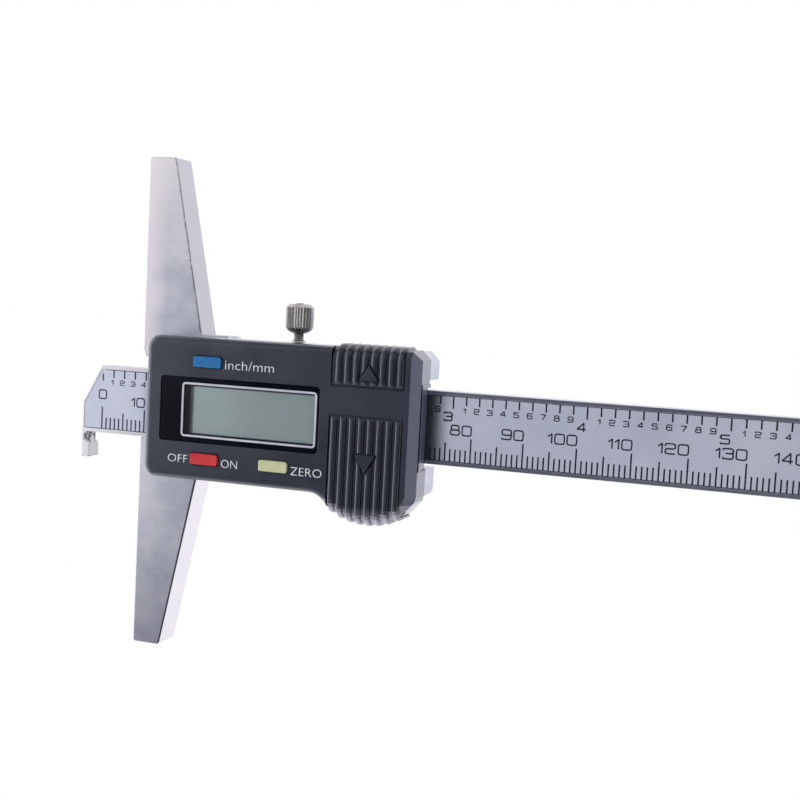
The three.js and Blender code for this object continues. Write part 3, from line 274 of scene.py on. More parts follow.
def baseWear(tree, toned):  # a dark nicked line on the ridge, partly real nicks and partly a painted dark edge reflection, and painted light and shade on the faces
    look = baseNicksAndLighting
    spot = useGroup(tree, spotGroup)

    def byArm(pair):
        return remap(tree, spot["Y"], look["arms"], pair)

    # the ridge's dark line: real nicks, with a painted dark reflection along the edge
    rootX, rootY = look["ridgeRoot"]
    run = (Vector(look["ridgeEnd"]) - Vector(look["ridgeRoot"])).normalized()
    away = calc(tree, "MULTIPLY", calc(tree, "SUBTRACT", spot["X"], rootX), run.y)
    along = calc(tree, "SUBTRACT", calc(tree, "ABSOLUTE", spot["Y"]), rootY)
    offLine = calc(tree, "ABSOLUTE", calc(tree, "SUBTRACT", away, calc(tree, "MULTIPLY", along, run.x)))
    below = calc(tree, "SUBTRACT", look["top"], spot["Z"])
    nicks = noise(tree, spot["Point"], look["nickScale"], look["nickDetail"], look["nickRough"])
    fromMiddle = calc(tree, "SUBTRACT", nicks, look["nickMiddle"])
    chatter = calc(tree, "MULTIPLY", fromMiddle, byArm(look["nickDepth"]))
    nearLine = calc(tree, "LESS_THAN", offLine, calc(tree, "ADD", chatter, byArm(look["ridgeWidth"])))
    nearTop = calc(tree, "LESS_THAN", below, look["ridgeWidth"][0])
    pastRoot = calc(tree, "GREATER_THAN", along, 0.0)
    ridge = calc(tree, "MULTIPLY", calc(tree, "MULTIPLY", nearLine, nearTop), pastRoot)
    # painted highlight by the measuring face, painted light on the upper arm's top, painted shade at the
    # lower arm's tip
    fromFace = calc(tree, "SUBTRACT", spot["X"], look["face"])
    nearFace = remap(tree, fromFace, (0, look["faceReach"]), (1, 0))
    coloured = tint(tree, toned, nearFace, byArm(look["faceTone"]), look["faceColour"])
    coloured = tint(tree, coloured, remap(tree, spot["Y"], look["topSpan"]), look["topTone"], look["topColour"])
    coloured = tint(tree, coloured, remap(tree, spot["Y"], look["tipSpan"]), look["tipTone"], look["tipColour"])
    # painted light and shade on the +X side faces: lighter on the lower arm, darker on the upper
    onSide = calc(tree, "MULTIPLY", calc(tree, "GREATER_THAN", spot["Faces X"], look["sideTurn"]), pastRoot)
    sideColour = mixColour(tree, byArm((0, 1)), look["lowerSide"], look["upperSide"])
    coloured = tint(tree, coloured, onSide, look["sideTone"], sideColour)
    return tint(tree, coloured, ridge, byArm(look["ridgeTone"]), look["ridgeColour"])


hookMarksAndShading = {
    "below": -beamHigh.y / mm - slack["hook"], "leftOf": 0.0, "sideTurn": 0.5,
    "sideTone": 0.8, "sideColour": linear(196, 196, 194),
    # corner and its gain: a painted shadow that grows towards the beam's edge
    "corner": (-9.6, -8.3), "cornerGain": 0.17, "spotScale": 1.1, "spotDetail": 3.0, "spotRough": 0.6,
    "markSpan": (0.6, 0.7), "markTone": 0.85, "markColour": linear(44, 44, 48),
}


def hookWear(tree, toned):  # painted shade on the hook's side faces, and dark marks where it meets the beam's edge, deepened by a painted shadow under that edge
    look = hookMarksAndShading
    spot = useGroup(tree, spotGroup)
    onHook = calc(tree, "MULTIPLY", calc(tree, "LESS_THAN", spot["Y"], look["below"]),
                  calc(tree, "LESS_THAN", spot["X"], look["leftOf"]))
    # painted shade on the hook's faces that look towards +X
    onSide = calc(tree, "MULTIPLY", calc(tree, "GREATER_THAN", spot["Faces X"], look["sideTurn"]), onHook)
    sideShaded = tint(tree, toned, onSide, look["sideTone"], look["sideColour"])
    # dark grind marks, spread further by a painted shadow that grows towards the beam's edge
    corner = remap(tree, spot["Y"], look["corner"], (0, look["cornerGain"]))
    spots = noise(tree, spot["Point"], look["spotScale"], look["spotDetail"], look["spotRough"])
    marksAndShadow = calc(tree, "MULTIPLY", remap(tree, calc(tree, "ADD", spots, corner), look["markSpan"]), onHook)
    return tint(tree, sideShaded, marksAndShadow, look["markTone"], look["markColour"])


knobShading = {
    # painted shade in the grooves and a painted dark reflection underneath
    "groove": {"Reach": 0.4 * mm, "Open": 0.9, "Shut": 0.55}, "grooveTone": 0.8,
    "underTurn": (-0.1, -0.45), "underTone": 0.88, "colour": linear(44, 44, 47),
}


def knobWear(tree, toned):  # painted shade in the grooves, and a painted dark reflection on the underside towards the housing
    look = knobShading
    hollow = useGroup(tree, hollowGroup, look["groove"])["Hollow"]
    grooves = calc(tree, "MULTIPLY", hollow, look["grooveTone"])
    under = remap(tree, useGroup(tree, spotGroup)["Faces Y"], look["underTurn"], (0, look["underTone"]))
    return mixColour(tree, calc(tree, "MAXIMUM", grooves, under), toned, look["colour"])


coverLightAndShade = {
    "crevice": {"Reach": 1.2 * mm, "Open": 0.95, "Shut": 0.45}, "creviceTone": 0.75,
    "creviceColour": linear(8, 9, 16), "flankTurn": (0.1, 0.45), "flankTone": 0.8,
    # painted reflection: feet and end wall lightened as if mirroring the bright floor
    "feetBelow": -14.5, "feetFrom": doorLow.x / mm - slack["door"], "feetTurn": (-0.1, -0.7),
    "lowSpan": (-15.5, -19.0), "lowShare": 0.4, "feetTone": 0.85, "feetColour": linear(206, 203, 222),
    "endFrom": doorHigh.x / mm + slack["door"], "endTurn": (0.4, 1.0),
    "endTone": 0.51, "endColour": linear(150, 154, 186),
}


def coverWear(tree, toned):  # painted shade in the crevices and on the ribs' flanks, and a painted reflection that lightens the feet and the end
    look = coverLightAndShade
    spot = useGroup(tree, spotGroup)
    # painted shade in the crevices, then on the flanks that face away from the lamp
    hollow = useGroup(tree, hollowGroup, look["crevice"])["Hollow"]
    coloured = tint(tree, toned, hollow, look["creviceTone"], look["creviceColour"])
    atEnd = calc(tree, "GREATER_THAN", spot["X"], look["endFrom"])
    beforeEnd = calc(tree, "SUBTRACT", 1.0, atEnd)
    flanks = calc(tree, "MULTIPLY", remap(tree, spot["Faces X"], look["flankTurn"]), beforeEnd)
    coloured = tint(tree, coloured, flanks, look["flankTone"], look["creviceColour"])
    # painted reflection: the feet and the end wall are lightened where they would mirror the bright floor
    atFeet = calc(tree, "MULTIPLY", calc(tree, "LESS_THAN", spot["Y"], look["feetBelow"]),
                  calc(tree, "GREATER_THAN", spot["X"], look["feetFrom"]))
    low = remap(tree, spot["Y"], look["lowSpan"], (0, look["lowShare"]))
    leaning = calc(tree, "MAXIMUM", remap(tree, spot["Faces Y"], look["feetTurn"]), low)
    coloured = tint(tree, coloured, calc(tree, "MULTIPLY", leaning, atFeet), look["feetTone"], look["feetColour"])
    ends = calc(tree, "MULTIPLY", remap(tree, spot["Faces X"], look["endTurn"]), atEnd)
    return tint(tree, coloured, ends, look["endTone"], look["endColour"])


filmShading = {
    "wall": {"Reach": 7.0 * mm, "Open": 0.8, "Shut": 0.64}, "tone": 0.92, "colour": linear(30, 32, 42),
}


def filmShade(tree, toned):  # painted shade: the film goes dark beside the housing's wall
    hollow = useGroup(tree, hollowGroup, filmShading["wall"])["Hollow"]
    return tint(tree, toned, hollow, filmShading["tone"], filmShading["colour"])


displayShading = {"span": (-80.0, -53.0), "tone": 0.5, "colour": linear(85, 98, 105)}


def displayShade(tree, toned):  # painted shade: darker towards the display's right end
    slope = remap(tree, useGroup(tree, spotGroup)["X"], displayShading["span"])
    return tint(tree, toned, slope, displayShading["tone"], displayShading["colour"])


# each material's own marks and wear, with painted light and shade
wearAndLightOf = {
    "groundSteel": baseWear, "railSteel": hookWear, "knobSteel": knobWear,
    "coverPlastic": coverWear, "labelFilm": filmShade, "panelGlass": displayShade,
}
glaze = {"blend": 0.5, "facing": (0.1, 0.6), "weight": (0.2, 1.0), "rough": 0.15, "ior": 1.6}


def addGlaze(tree, shader):  # a waxy skin that shines more at a slant
    slant = addNode(tree, "ShaderNodeLayerWeight", {"Blend": glaze["blend"]})
    weight = remap(tree, slant.outputs["Facing"], glaze["facing"], glaze["weight"])
    feed(tree, weight, shader.inputs["Coat Weight"])
    shader.inputs["Coat Roughness"].default_value = glaze["rough"]
    shader.inputs["Coat IOR"].default_value = glaze["ior"]


def finishSurface(tree, shader, look, colour, unevenness):
    feed(tree, colour, shader.inputs["Base Color"])
    rough = remap(tree, calc(tree, "ADD", *unevenness), (0, 2), look["rough"])
    feed(tree, rough, shader.inputs["Roughness"])


def steel(name, look):
    material, tree, shader = newMaterial(name, {"Metallic": look["metal"]})
    lines = useGroup(tree, grindGroup, {"Stretch": look["stretch"], "Patch Size": look["patchSize"]})
    edges = useGroup(tree, edgeGroup, {"Radius": look["edgeRadius"]})
    toned = mixColour(tree, lines["Patches"], look["dark"], look["light"])
    lined = tint(tree, toned, lines["Lines"], look["lineTone"], look["lineColour"])
    coloured = tint(tree, lined, edges["Edge"], look["edgeTone"], look["edgeColour"])
    if name in wearAndLightOf:
        coloured = wearAndLightOf[name](tree, coloured)
    finishSurface(tree, shader, look, coloured, (lines["Lines"], lines["Patches"]))
    height = calc(tree, "SUBTRACT", lines["Lines"], lines["Scratches"])
    bump(tree, shader, height, look["lineDepth"], edges["Normal"])
    return material


def plastic(name, look):
    settings = {"Specular IOR Level": look["shine"], "Metallic": look["metal"]}
    material, tree, shader = newMaterial(name, settings)
    grains = useGroup(tree, grainGroup, {"Grain Scale": look["grainScale"], "Tone Scale": look["toneScale"]})
    edges = useGroup(tree, edgeGroup, {"Radius": look["edgeRadius"]})
    toned = mixColour(tree, grains["Tone"], look["dark"], look["light"])
    coloured = tint(tree, toned, edges["Edge"], look["edgeTone"], look["edgeColour"])
    if name in wearAndLightOf:
        coloured = wearAndLightOf[name](tree, coloured)
    if name == "coverPlastic":
        addGlaze(tree, shader)
    finishSurface(tree, shader, look, coloured, (grains["Grain"], grains["Tone"]))
    bump(tree, shader, grains["Grain"], look["grainDepth"], edges["Normal"])
    return material


# Finishes of the CAD pieces
steelLooks = {
    "groundSteel": {
        "metal": 1.0, "stretch": (0.08, 4.0, 4.0), "patchSize": 0.09,
        "dark": linear(202, 205, 218), "light": linear(240, 238, 244),
        "lineTone": 0.42, "lineColour": linear(180, 183, 198), "lineDepth": 0.006 * mm,
        "edgeTone": 0.3, "edgeColour": linear(246, 245, 247), "edgeRadius": 0.28 * mm, "rough": (0.26, 0.4),
    },
    "railSteel": {
        "metal": 1.0, "stretch": (0.05, 9.0, 9.0), "patchSize": 0.05,
        "dark": linear(222, 221, 228), "light": linear(236, 235, 238),
        "lineTone": 0.25, "lineColour": linear(186, 186, 196), "lineDepth": 0.002 * mm,
        "edgeTone": 0.3, "edgeColour": linear(244, 244, 246), "edgeRadius": 0.12 * mm, "rough": (0.22, 0.34),
    },
    "plateSteel": {
        "metal": 1.0, "stretch": (0.12, 7.0, 7.0), "patchSize": 0.06,
        "dark": linear(190, 190, 196), "light": linear(208, 208, 212),
        "lineTone": 0.3, "lineColour": linear(150, 150, 158), "lineDepth": 0.002 * mm,
        "edgeTone": 0.2, "edgeColour": linear(224, 224, 228), "edgeRadius": 0.1 * mm, "rough": (0.3, 0.42),
    },
    "screwSteel": {
        "metal": 1.0, "stretch": (2.0, 2.0, 2.0), "patchSize": 0.6,
        "dark": linear(120, 120, 126), "light": linear(152, 152, 158),
        "lineTone": 0.3, "lineColour": linear(90, 90, 96), "lineDepth": 0.003 * mm,
        "edgeTone": 0.4, "edgeColour": linear(190, 190, 196), "edgeRadius": 0.08 * mm, "rough": (0.26, 0.42),
    },
    "knobSteel": {
        "metal": 0.62, "stretch": (3.0, 0.6, 3.0), "patchSize": 0.5,
        "dark": linear(198, 196, 190), "light": linear(220, 217, 210),
        "lineTone": 0.3, "lineColour": linear(160, 160, 166), "lineDepth": 0.003 * mm,
        "edgeTone": 0.5, "edgeColour": linear(240, 240, 243), "edgeRadius": 0.07 * mm, "rough": (0.14, 0.28),
    },
    "gibBrass": {
        "metal": 1.0, "stretch": (0.1, 5.0, 5.0), "patchSize": 0.1,
        "dark": linear(186, 150, 86), "light": linear(206, 170, 104),
        "lineTone": 0.3, "lineColour": linear(150, 118, 66), "lineDepth": 0.002 * mm,
        "edgeTone": 0.2, "edgeColour": linear(222, 190, 130), "edgeRadius": 0.1 * mm, "rough": (0.3, 0.45),
    },
    "contactNickel": {
        "metal": 1.0, "stretch": (1.5, 1.5, 1.5), "patchSize": 0.3,
        "dark": linear(196, 192, 182), "light": linear(214, 210, 202),
        "lineTone": 0.2, "lineColour": linear(165, 160, 150), "lineDepth": 0.002 * mm,
        "edgeTone": 0.3, "edgeColour": linear(228, 226, 220), "edgeRadius": 0.1 * mm, "rough": (0.2, 0.34),
    },
}
keyRubber = {
    "shine": 0.35, "metal": 0.0, "grainScale": 6.0, "toneScale": 0.5, "grainDepth": 0.006 * mm,
    "edgeTone": 0.3, "edgeRadius": 0.2 * mm, "rough": (0.42, 0.55),
}
plasticLooks = {
    "coverPlastic": {
        "shine": 0.5, "metal": 0.0, "grainScale": 7.0, "toneScale": 0.08, "grainDepth": 0.004 * mm,
        "dark": linear(39, 43, 55), "light": linear(48, 52, 66), "rough": (0.26, 0.36),
        "edgeTone": 0.3, "edgeColour": linear(88, 91, 108), "edgeRadius": 0.15 * mm,
    },
    "bezelPlastic": {
        "shine": 0.2, "metal": 0.0, "grainScale": 3.0, "toneScale": 0.1, "grainDepth": 0.0006 * mm,
        "dark": linear(4, 6, 15), "light": linear(9, 11, 22), "rough": (0.1, 0.18),
        "edgeTone": 0.2, "edgeColour": linear(40, 42, 52), "edgeRadius": 0.1 * mm,
    },
    "trimSilver": {
        "shine": 0.5, "metal": 0.0, "grainScale": 12.0, "toneScale": 0.3, "grainDepth": 0.002 * mm,
        "dark": linear(180, 184, 198), "light": linear(198, 201, 214), "rough": (0.3, 0.42),
        "edgeTone": 0.3, "edgeColour": linear(214, 216, 226), "edgeRadius": 0.05 * mm,
    },
    "boardResin": {
        "shine": 0.4, "metal": 0.0, "grainScale": 5.0, "toneScale": 0.4, "grainDepth": 0.003 * mm,
        "dark": linear(22, 74, 46), "light": linear(34, 96, 62), "rough": (0.3, 0.45),
        "edgeTone": 0.4, "edgeColour": linear(140, 150, 96), "edgeRadius": 0.08 * mm,
    },
    "chipResin": {
        "shine": 0.35, "metal": 0.0, "grainScale": 10.0, "toneScale": 0.5, "grainDepth": 0.006 * mm,
        "dark": linear(22, 22, 25), "light": linear(32, 32, 36), "rough": (0.5, 0.65),
        "edgeTone": 0.3, "edgeColour": linear(70, 70, 76), "edgeRadius": 0.08 * mm,
    },
    "rubberGrey": {
        "shine": 0.3, "metal": 0.0, "grainScale": 8.0, "toneScale": 0.6, "grainDepth": 0.01 * mm,
        "dark": linear(74, 75, 78), "light": linear(96, 97, 100), "rough": (0.7, 0.85),
        "edgeTone": 0.1, "edgeColour": linear(120, 120, 124), "edgeRadius": 0.1 * mm,
    },
    "labelFilm": {
        "shine": 0.4, "metal": 0.28, "grainScale": 14.0, "toneScale": 0.06, "grainDepth": 0.002 * mm,
        "dark": linear(190, 195, 213), "light": linear(204, 208, 224), "rough": (0.38, 0.5),
        "edgeTone": 0.0, "edgeColour": linear(200, 200, 210), "edgeRadius": 0.03 * mm,
    },
    "stopPlastic": {
        "shine": 0.4, "metal": 0.0, "grainScale": 6.0, "toneScale": 0.2, "grainDepth": 0.006 * mm,
        "dark": linear(40, 40, 46), "light": linear(52, 52, 58), "rough": (0.45, 0.6),
        "edgeTone": 0.3, "edgeColour": linear(90, 90, 98), "edgeRadius": 0.15 * mm,
    },
    "panelGlass": {
        "shine": 0.5, "metal": 0.0, "grainScale": 2.0, "toneScale": 0.05, "grainDepth": 0.0005 * mm,
        "dark": linear(128, 142, 145), "light": linear(142, 156, 158), "rough": (0.3, 0.4),
        "edgeTone": 0.0, "edgeColour": linear(90, 100, 100), "edgeRadius": 0.05 * mm,
    },
    "unitBlue": {
        **keyRubber, "dark": linear(22, 92, 152), "light": linear(42, 118, 180),
        "edgeTone": 0.35, "edgeColour": linear(104, 164, 220),
    },
    "powerRed": {
        **keyRubber, "dark": linear(184, 40, 46), "light": linear(204, 56, 60),
        "edgeColour": linear(226, 100, 96),
    },
    "zeroYellow": {
        **keyRubber, "dark": linear(188, 192, 148), "light": linear(204, 208, 166),
        "edgeColour": linear(222, 226, 182),
    },
}
window = {
    "settings": {
        "Base Color": (0.95, 0.97, 0.96, 1), "Roughness": 0.03, "Transmission Weight": 1.0, "IOR": 1.45,
    },
    "edgeRadius": 0.1 * mm,
}


def surfaceOf(tree):
    return next(node for node in tree.nodes if node.type == "OUTPUT_MATERIAL").inputs["Surface"]


def showInstead(tree, shader, shown, amount):  # one shader mixed over the Principled one
    either = addNode(tree, "ShaderNodeMixShader", {0: amount, 1: shader.outputs[0], 2: shown.outputs[0]})
    feed(tree, either.outputs[0], surfaceOf(tree))


def clearWindow(name):  # clear plastic that lets the light through to the display
    material, tree, shader = newMaterial(name, window["settings"])
    feed(tree, useGroup(tree, edgeGroup, {"Radius": window["edgeRadius"]})["Normal"], shader.inputs["Normal"])
    ray = addNode(tree, "ShaderNodeLightPath").outputs
    through = addNode(tree, "ShaderNodeBsdfTransparent")
    showInstead(tree, shader, through, calc(tree, "MAXIMUM", ray["Is Shadow Ray"], ray["Is Diffuse Ray"]))
    return material


def finishOf(slotName):  # the record's slot "ground_steel" has the finish "groundSteel"
    first, *others = slotName.split("_")
    return finishes[first + "".join(word.capitalize() for word in others)]


finishes = {name: steel(name, look) for name, look in steelLooks.items()}
finishes.update({name: plastic(name, look) for name, look in plasticLooks.items()})
finishes["clearPlastic"] = clearWindow("clearPlastic")
for part in frame["record"]["subparts"]:
    for slot in nodes[part["node"]].material_slots:
        slot.material = finishOf(part["material_slot"])
print("finishes set")


# Printed marks
inkGrain = {"shine": 0.3, "grainScale": 20.0, "toneScale": 1.5, "paler": 1.25, "roughSpread": 0.15}
inkLooks = {
    "scaleInk": {"colour": linear(26, 28, 44), "rough": 0.45},
    "legendInk": {"colour": linear(218, 220, 226), "rough": 0.5},
}


def ink(name):
    look = inkLooks[name]
    material, tree, shader = newMaterial(name, {"Specular IOR Level": inkGrain["shine"]})
    grains = useGroup(tree, grainGroup, {
        "Grain Scale": inkGrain["grainScale"], "Tone Scale": inkGrain["toneScale"],
    })
    paler = tuple(min(1, channel * inkGrain["paler"]) for channel in look["colour"])
    rough = remap(tree, grains["Grain"], (0, 1), (look["rough"], look["rough"] + inkGrain["roughSpread"]))
    feed(tree, mixColour(tree, grains["Tone"], look["colour"], paler), shader.inputs["Base Color"])
    feed(tree, rough, shader.inputs["Roughness"])
    return material


def roundCorners(points, radius, closed, steps=3):
    count = len(points)
    made = []
    for index, here in enumerate(points):
        here = Vector(here)
        if not closed and index in (0, count - 1):
            made.append(here)
            continue
        before = Vector(points[index - 1]) - here
        after = Vector(points[(index + 1) % count]) - here
        reach = min(radius, before.length / 2, after.length / 2)
        first = here + before.normalized() * reach
        last = here + after.normalized() * reach
        for step in range(steps + 1):
            t = step / steps
            made.append(first * (1 - t) ** 2 + here * 2 * t * (1 - t) + last * t ** 2)
    return made


def addRibbon(bm, points, width, closed, low, high, sharpest=0.5):  # a thin flat stroke along points
    count = len(points)
    sides = []
    for index, here in enumerate(points):
        ahead = points[(index + 1) % count] if closed or index < count - 1 else None
        behind = points[index - 1] if closed or index else None
        into = (here - behind).normalized() if behind is not None else (ahead - here).normalized()
        out = (ahead - here).normalized() if ahead is not None else into
        along = (into + out).normalized()
        across = Vector((-along.y, along.x))
        half = width / 2 / max(sharpest, across.dot(Vector((-into.y, into.x))))
        sides.append((here + across * half, here - across * half))
    rings = [
        [bm.verts.new((left.x, left.y, low)), bm.verts.new((left.x, left.y, high)),
         bm.verts.new((right.x, right.y, high)), bm.verts.new((right.x, right.y, low))]
        for left, right in sides
    ]
    last = count if closed else count - 1
    for index in range(last):
        one, two = rings[index], rings[(index + 1) % count]
        for corner in range(4):
            after = (corner + 1) % 4
            bm.faces.new((one[corner], two[corner], two[after], one[after]))
    if not closed:
        bm.faces.new(rings[0])
        bm.faces.new(list(reversed(rings[-1])))


def addBar(bm, lowX, highX, lowY, highY, low, high):
    corners = [(lowX, lowY), (highX, lowY), (highX, highY), (lowX, highY)]
    under = [bm.verts.new((x, y, low)) for x, y in corners]
    over = [bm.verts.new((x, y, high)) for x, y in corners]
    bm.faces.new(list(reversed(under)))
    bm.faces.new(over)
    for index in range(4):
        after = (index + 1) % 4
        bm.faces.new((under[index], under[after], over[after], over[index]))


def newPiece(name, fill, material, body):
    mesh = bpy.data.meshes.new(name)
    bm = bmesh.new()
    fill(bm)
    bmesh.ops.recalc_face_normals(bm, faces=bm.faces)
    bm.to_mesh(mesh)
    bm.free()
    mesh.materials.append(material)
    made = bpy.data.objects.new(name, mesh)
    bpy.context.scene.collection.objects.link(made)
    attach(made, body)


# Strokes of the scale's wide squared digits, in shares of their width and height.
digitStrokeShares = {
    "0": [("loop", [(0, 0), (1, 0), (1, 1), (0, 1)])],
    "1": [("line", [(0.08, 0.68), (0.62, 0.98), (0.62, 0)])],
    "2": [("line", [(0, 0.74), (0, 1), (1, 1), (1, 0.5), (0, 0.5), (0, 0), (1, 0)])],
    "3": [("line", [(0, 0.82), (0, 1), (1, 1), (1, 0.52), (0.25, 0.52)]),
          ("line", [(0.9, 0.52), (1, 0.48), (1, 0), (0, 0), (0, 0.18)])],
    "4": [("line", [(0.76, 0), (0.76, 1), (0.7, 1), (0, 0.28), (1, 0.28)])],
    "5": [("line", [(1, 1), (0, 1), (0, 0.56), (1, 0.56), (1, 0), (0, 0), (0, 0.16)])],
    "6": [("line", [(1, 0.84), (1, 1), (0, 1), (0, 0), (1, 0), (1, 0.56), (0, 0.56)])],
    "7": [("line", [(0, 1), (1, 1), (0.35, 0)])],
    "8": [("loop", [(0, 0), (1, 0), (1, 0.52), (0, 0.52)]),
          ("loop", [(0.06, 0.52), (0.94, 0.52), (0.94, 1), (0.06, 1)])],
    "9": [("line", [(0, 0.16), (0, 0), (1, 0), (1, 1), (0, 1), (0, 0.44), (1, 0.44)])],
}
digitShape = {"corner": 0.24, "angular": "147", "angularCorner": 0.3, "oneWide": 0.75, "oneGap": 0.6}
scalePrint = {  # in millimetres
    "height": 0.02, "tickWidth": 0.28, "longest": 150, "inchTenth": 2.54, "inchPast": 3,
    "mmFoot": -6.2, "mmTops": {10: -1.6, 5: -2.65, 1: -3.82},
    "inchHead": 6.3, "firstInchHead": 5.3, "inchFeet": {10: 3.85, 1: 4.56},
    "mmDigit": {
        "width": 1.76, "height": 1.8, "foot": -1.17, "stroke": 0.25,
        "gap": 0.52, "overhang": 0.06, "one": 0.5,
    },
    "inchDigit": {
        "width": 1.55, "height": 1.5, "foot": 1.45, "stroke": 0.25,
        "gap": 0.5, "overhang": -0.02, "one": 0.5,
    },
    "tenthDigit": {
        "width": 0.95, "height": 0.94, "foot": 3.05, "stroke": 0.18,
        "gap": 0.4, "overhang": 0.06, "one": 0.6,
    },
    "firstZeroFoot": -0.02, "firstZeroShift": 0.1,
    "edgeLine": 0.3, "edgeAt": 6.11, "edgeLineFrom": 0.75, "edgeLineInset": 0.1,
}
printLow = labelHigh.z
printHigh = labelHigh.z + scalePrint["height"] * mm


def addNumber(bm, text, rightX, look, foot):
    cursor = rightX + look["overhang"] - look["stroke"] / 2
    bottom = foot + look["stroke"] / 2
    for digit in reversed(text):
        isOne = digit == "1"
        wide = look["width"] * (look["one"] if isOne else 1)
        drawn = look["width"] * (digitShape["oneWide"] if isOne else 1)
        left = cursor - wide
        corner = digitShape["corner"] * look["height"] * mm
        if digit in digitShape["angular"]:
            corner *= digitShape["angularCorner"]
        for kind, points in digitStrokeShares[digit]:
            placed = [
                (scaleZero + (left + x * drawn) * mm, (bottom + y * look["height"]) * mm) for x, y in points
            ]
            closed = kind == "loop"
            path = roundCorners(placed, corner, closed)
            addRibbon(bm, path, look["stroke"] * mm, closed, printLow, printHigh)
        cursor = left - look["gap"] * (digitShape["oneGap"] if isOne else 1)


def fillScale(bm):
    look = scalePrint
    half = look["tickWidth"] / 2 * mm

    def tick(place, foot, head):
        x = scaleZero + place * mm
        addBar(bm, x - half, x + half, foot * mm, head * mm, printLow, printHigh)

    numeral = look["mmDigit"]
    for count in range(look["longest"] + 1):
        step = 10 if count % 10 == 0 else 5 if count % 5 == 0 else 1
        tick(count, look["mmFoot"], look["mmTops"][step])
        if count % 10 == 0 and count:
            addNumber(bm, str(count), count, numeral, numeral["foot"])
    addNumber(bm, "0", numeral["width"] / 2 + look["firstZeroShift"], numeral, look["firstZeroFoot"])
    for count in range(int((look["longest"] + look["inchPast"]) / look["inchTenth"]) + 1):
        place = count * look["inchTenth"]
        step = 10 if count % 10 == 0 else 1
        tick(place, look["inchFeet"][step], look["inchHead"] if count else look["firstInchHead"])
        if count:
            numeral = look["inchDigit"] if step == 10 else look["tenthDigit"]
            shown = count // 10 if step == 10 else count % 10
            addNumber(bm, str(shown), place, numeral, numeral["foot"])
    line = look["edgeLine"] / 2 * mm
    edge = look["edgeAt"] * mm
    inset = look["edgeLineInset"] * mm
    chamferX = scaleZero + look["edgeLineFrom"] * mm
    addBar(bm, chamferX, labelHigh.x - inset, edge, edge + line, printLow, printHigh)
    addBar(bm, labelLow.x + inset, labelHigh.x - inset, -edge - line, -edge, printLow, printHigh)


newPiece("scalePrint", fillScale, ink("scaleInk"), "measuring_beam")

legendLook = {
    "raise": 0.01 * mm, "textSize": 2.0 * mm, "thinner": -0.02 * mm, "smooth": 4, "weld": 0.0001 * mm,
}
legends = [  # name, words, and their span along X from the scale's zero and along Y, in millimetres
    ("legendUnit", "inch/mm", (31.55, 42.0), (8.55, 10.35)),
    ("legendOff", "OFF", (19.7, 24.1), (-10.5, -8.95)),
    ("legendOn", "ON", (31.5, 35.0), (-10.75, -9.15)),
    ("legendZero", "ZERO", (46.35, 52.85), (-10.8, -9.2)),
]
legendInk = ink("legendInk")


def wordsMesh(name, text):
    curve = bpy.data.curves.new(name, "FONT")
    curve.body = text
    curve.size = legendLook["textSize"]
    curve.offset = legendLook["thinner"]
    curve.resolution_u = legendLook["smooth"]
    words = bpy.data.objects.new(name + "Curve", curve)
    bpy.context.scene.collection.objects.link(words)
    bpy.context.view_layer.update()
    mesh = bpy.data.meshes.new_from_object(words.evaluated_get(bpy.context.evaluated_depsgraph_get()))
    bpy.data.objects.remove(words)
    return mesh


def addLegend(name, text, spanX, spanY):
    mesh = wordsMesh(name, text)
    alongX = [vertex.co.x for vertex in mesh.vertices]
    alongY = [vertex.co.y for vertex in mesh.vertices]
    lowX, lowY = min(alongX), min(alongY)
    scaleX = (spanX[1] - spanX[0]) * mm / (max(alongX) - lowX)
    scaleY = (spanY[1] - spanY[0]) * mm / (max(alongY) - lowY)

    def fill(bm):
        bm.from_mesh(mesh)
        bmesh.ops.dissolve_degenerate(bm, edges=bm.edges, dist=legendLook["weld"])
        for vertex in bm.verts:
            vertex.co.x = scaleZero + spanX[0] * mm + (vertex.co.x - lowX) * scaleX
            vertex.co.y = spanY[0] * mm + (vertex.co.y - lowY) * scaleY
            vertex.co.z = coverTop + legendLook["raise"]
        raised = bmesh.ops.extrude_face_region(bm, geom=bm.faces[:])
        for item in raised["geom"]:
            if isinstance(item, bmesh.types.BMVert):
                item.co.z -= legendLook["raise"]

    newPiece(name, fill, legendInk, "housing")
    bpy.data.meshes.remove(mesh)


for legend in legends:
    addLegend(*legend)
print("marks printed")


# Floor, world and lamps
stage = {
    "floorHalf": 3.0,
    "floorSettings": {"Base Color": (0.86, 0.86, 0.87, 1), "Roughness": 0.9},
    "floorSeen": (1, 1, 1, 1),
    "floorMirrored": (0.93, 0.93, 0.99, 1),
    "worldColour": (1, 1, 1, 1),
    "worldStrength": 0.27,
    "worldSeen": 1.0,
}


def seenOrMirrored(tree):
    ray = addNode(tree, "ShaderNodeLightPath").outputs
    glossyToo = calc(tree, "MAXIMUM", ray["Is Camera Ray"], ray["Is Glossy Ray"])
    return calc(tree, "MAXIMUM", glossyToo, ray["Is Transmission Ray"])


def stagePlane(name, corners, material):
    mesh = bpy.data.meshes.new(name)
    mesh.from_pydata(corners, [], [(0, 1, 2, 3)])
    mesh.materials.append(material)
    plane = bpy.data.objects.new(name, mesh)
    bpy.context.scene.collection.objects.link(plane)
    return plane


def makeFloor():
    material, tree, shader = newMaterial("floorPaper", stage["floorSettings"])
    seen = addNode(tree, "ShaderNodeLightPath").outputs["Is Camera Ray"]
    shown = mixColour(tree, seen, stage["floorMirrored"], stage["floorSeen"])
    glow = addNode(tree, "ShaderNodeEmission", {"Color": shown, "Strength": 1.0})
    showInstead(tree, shader, glow, seenOrMirrored(tree))
    half = stage["floorHalf"]
    stagePlane("floor", [(-half, -half, 0), (half, -half, 0), (half, half, 0), (-half, half, 0)], material)


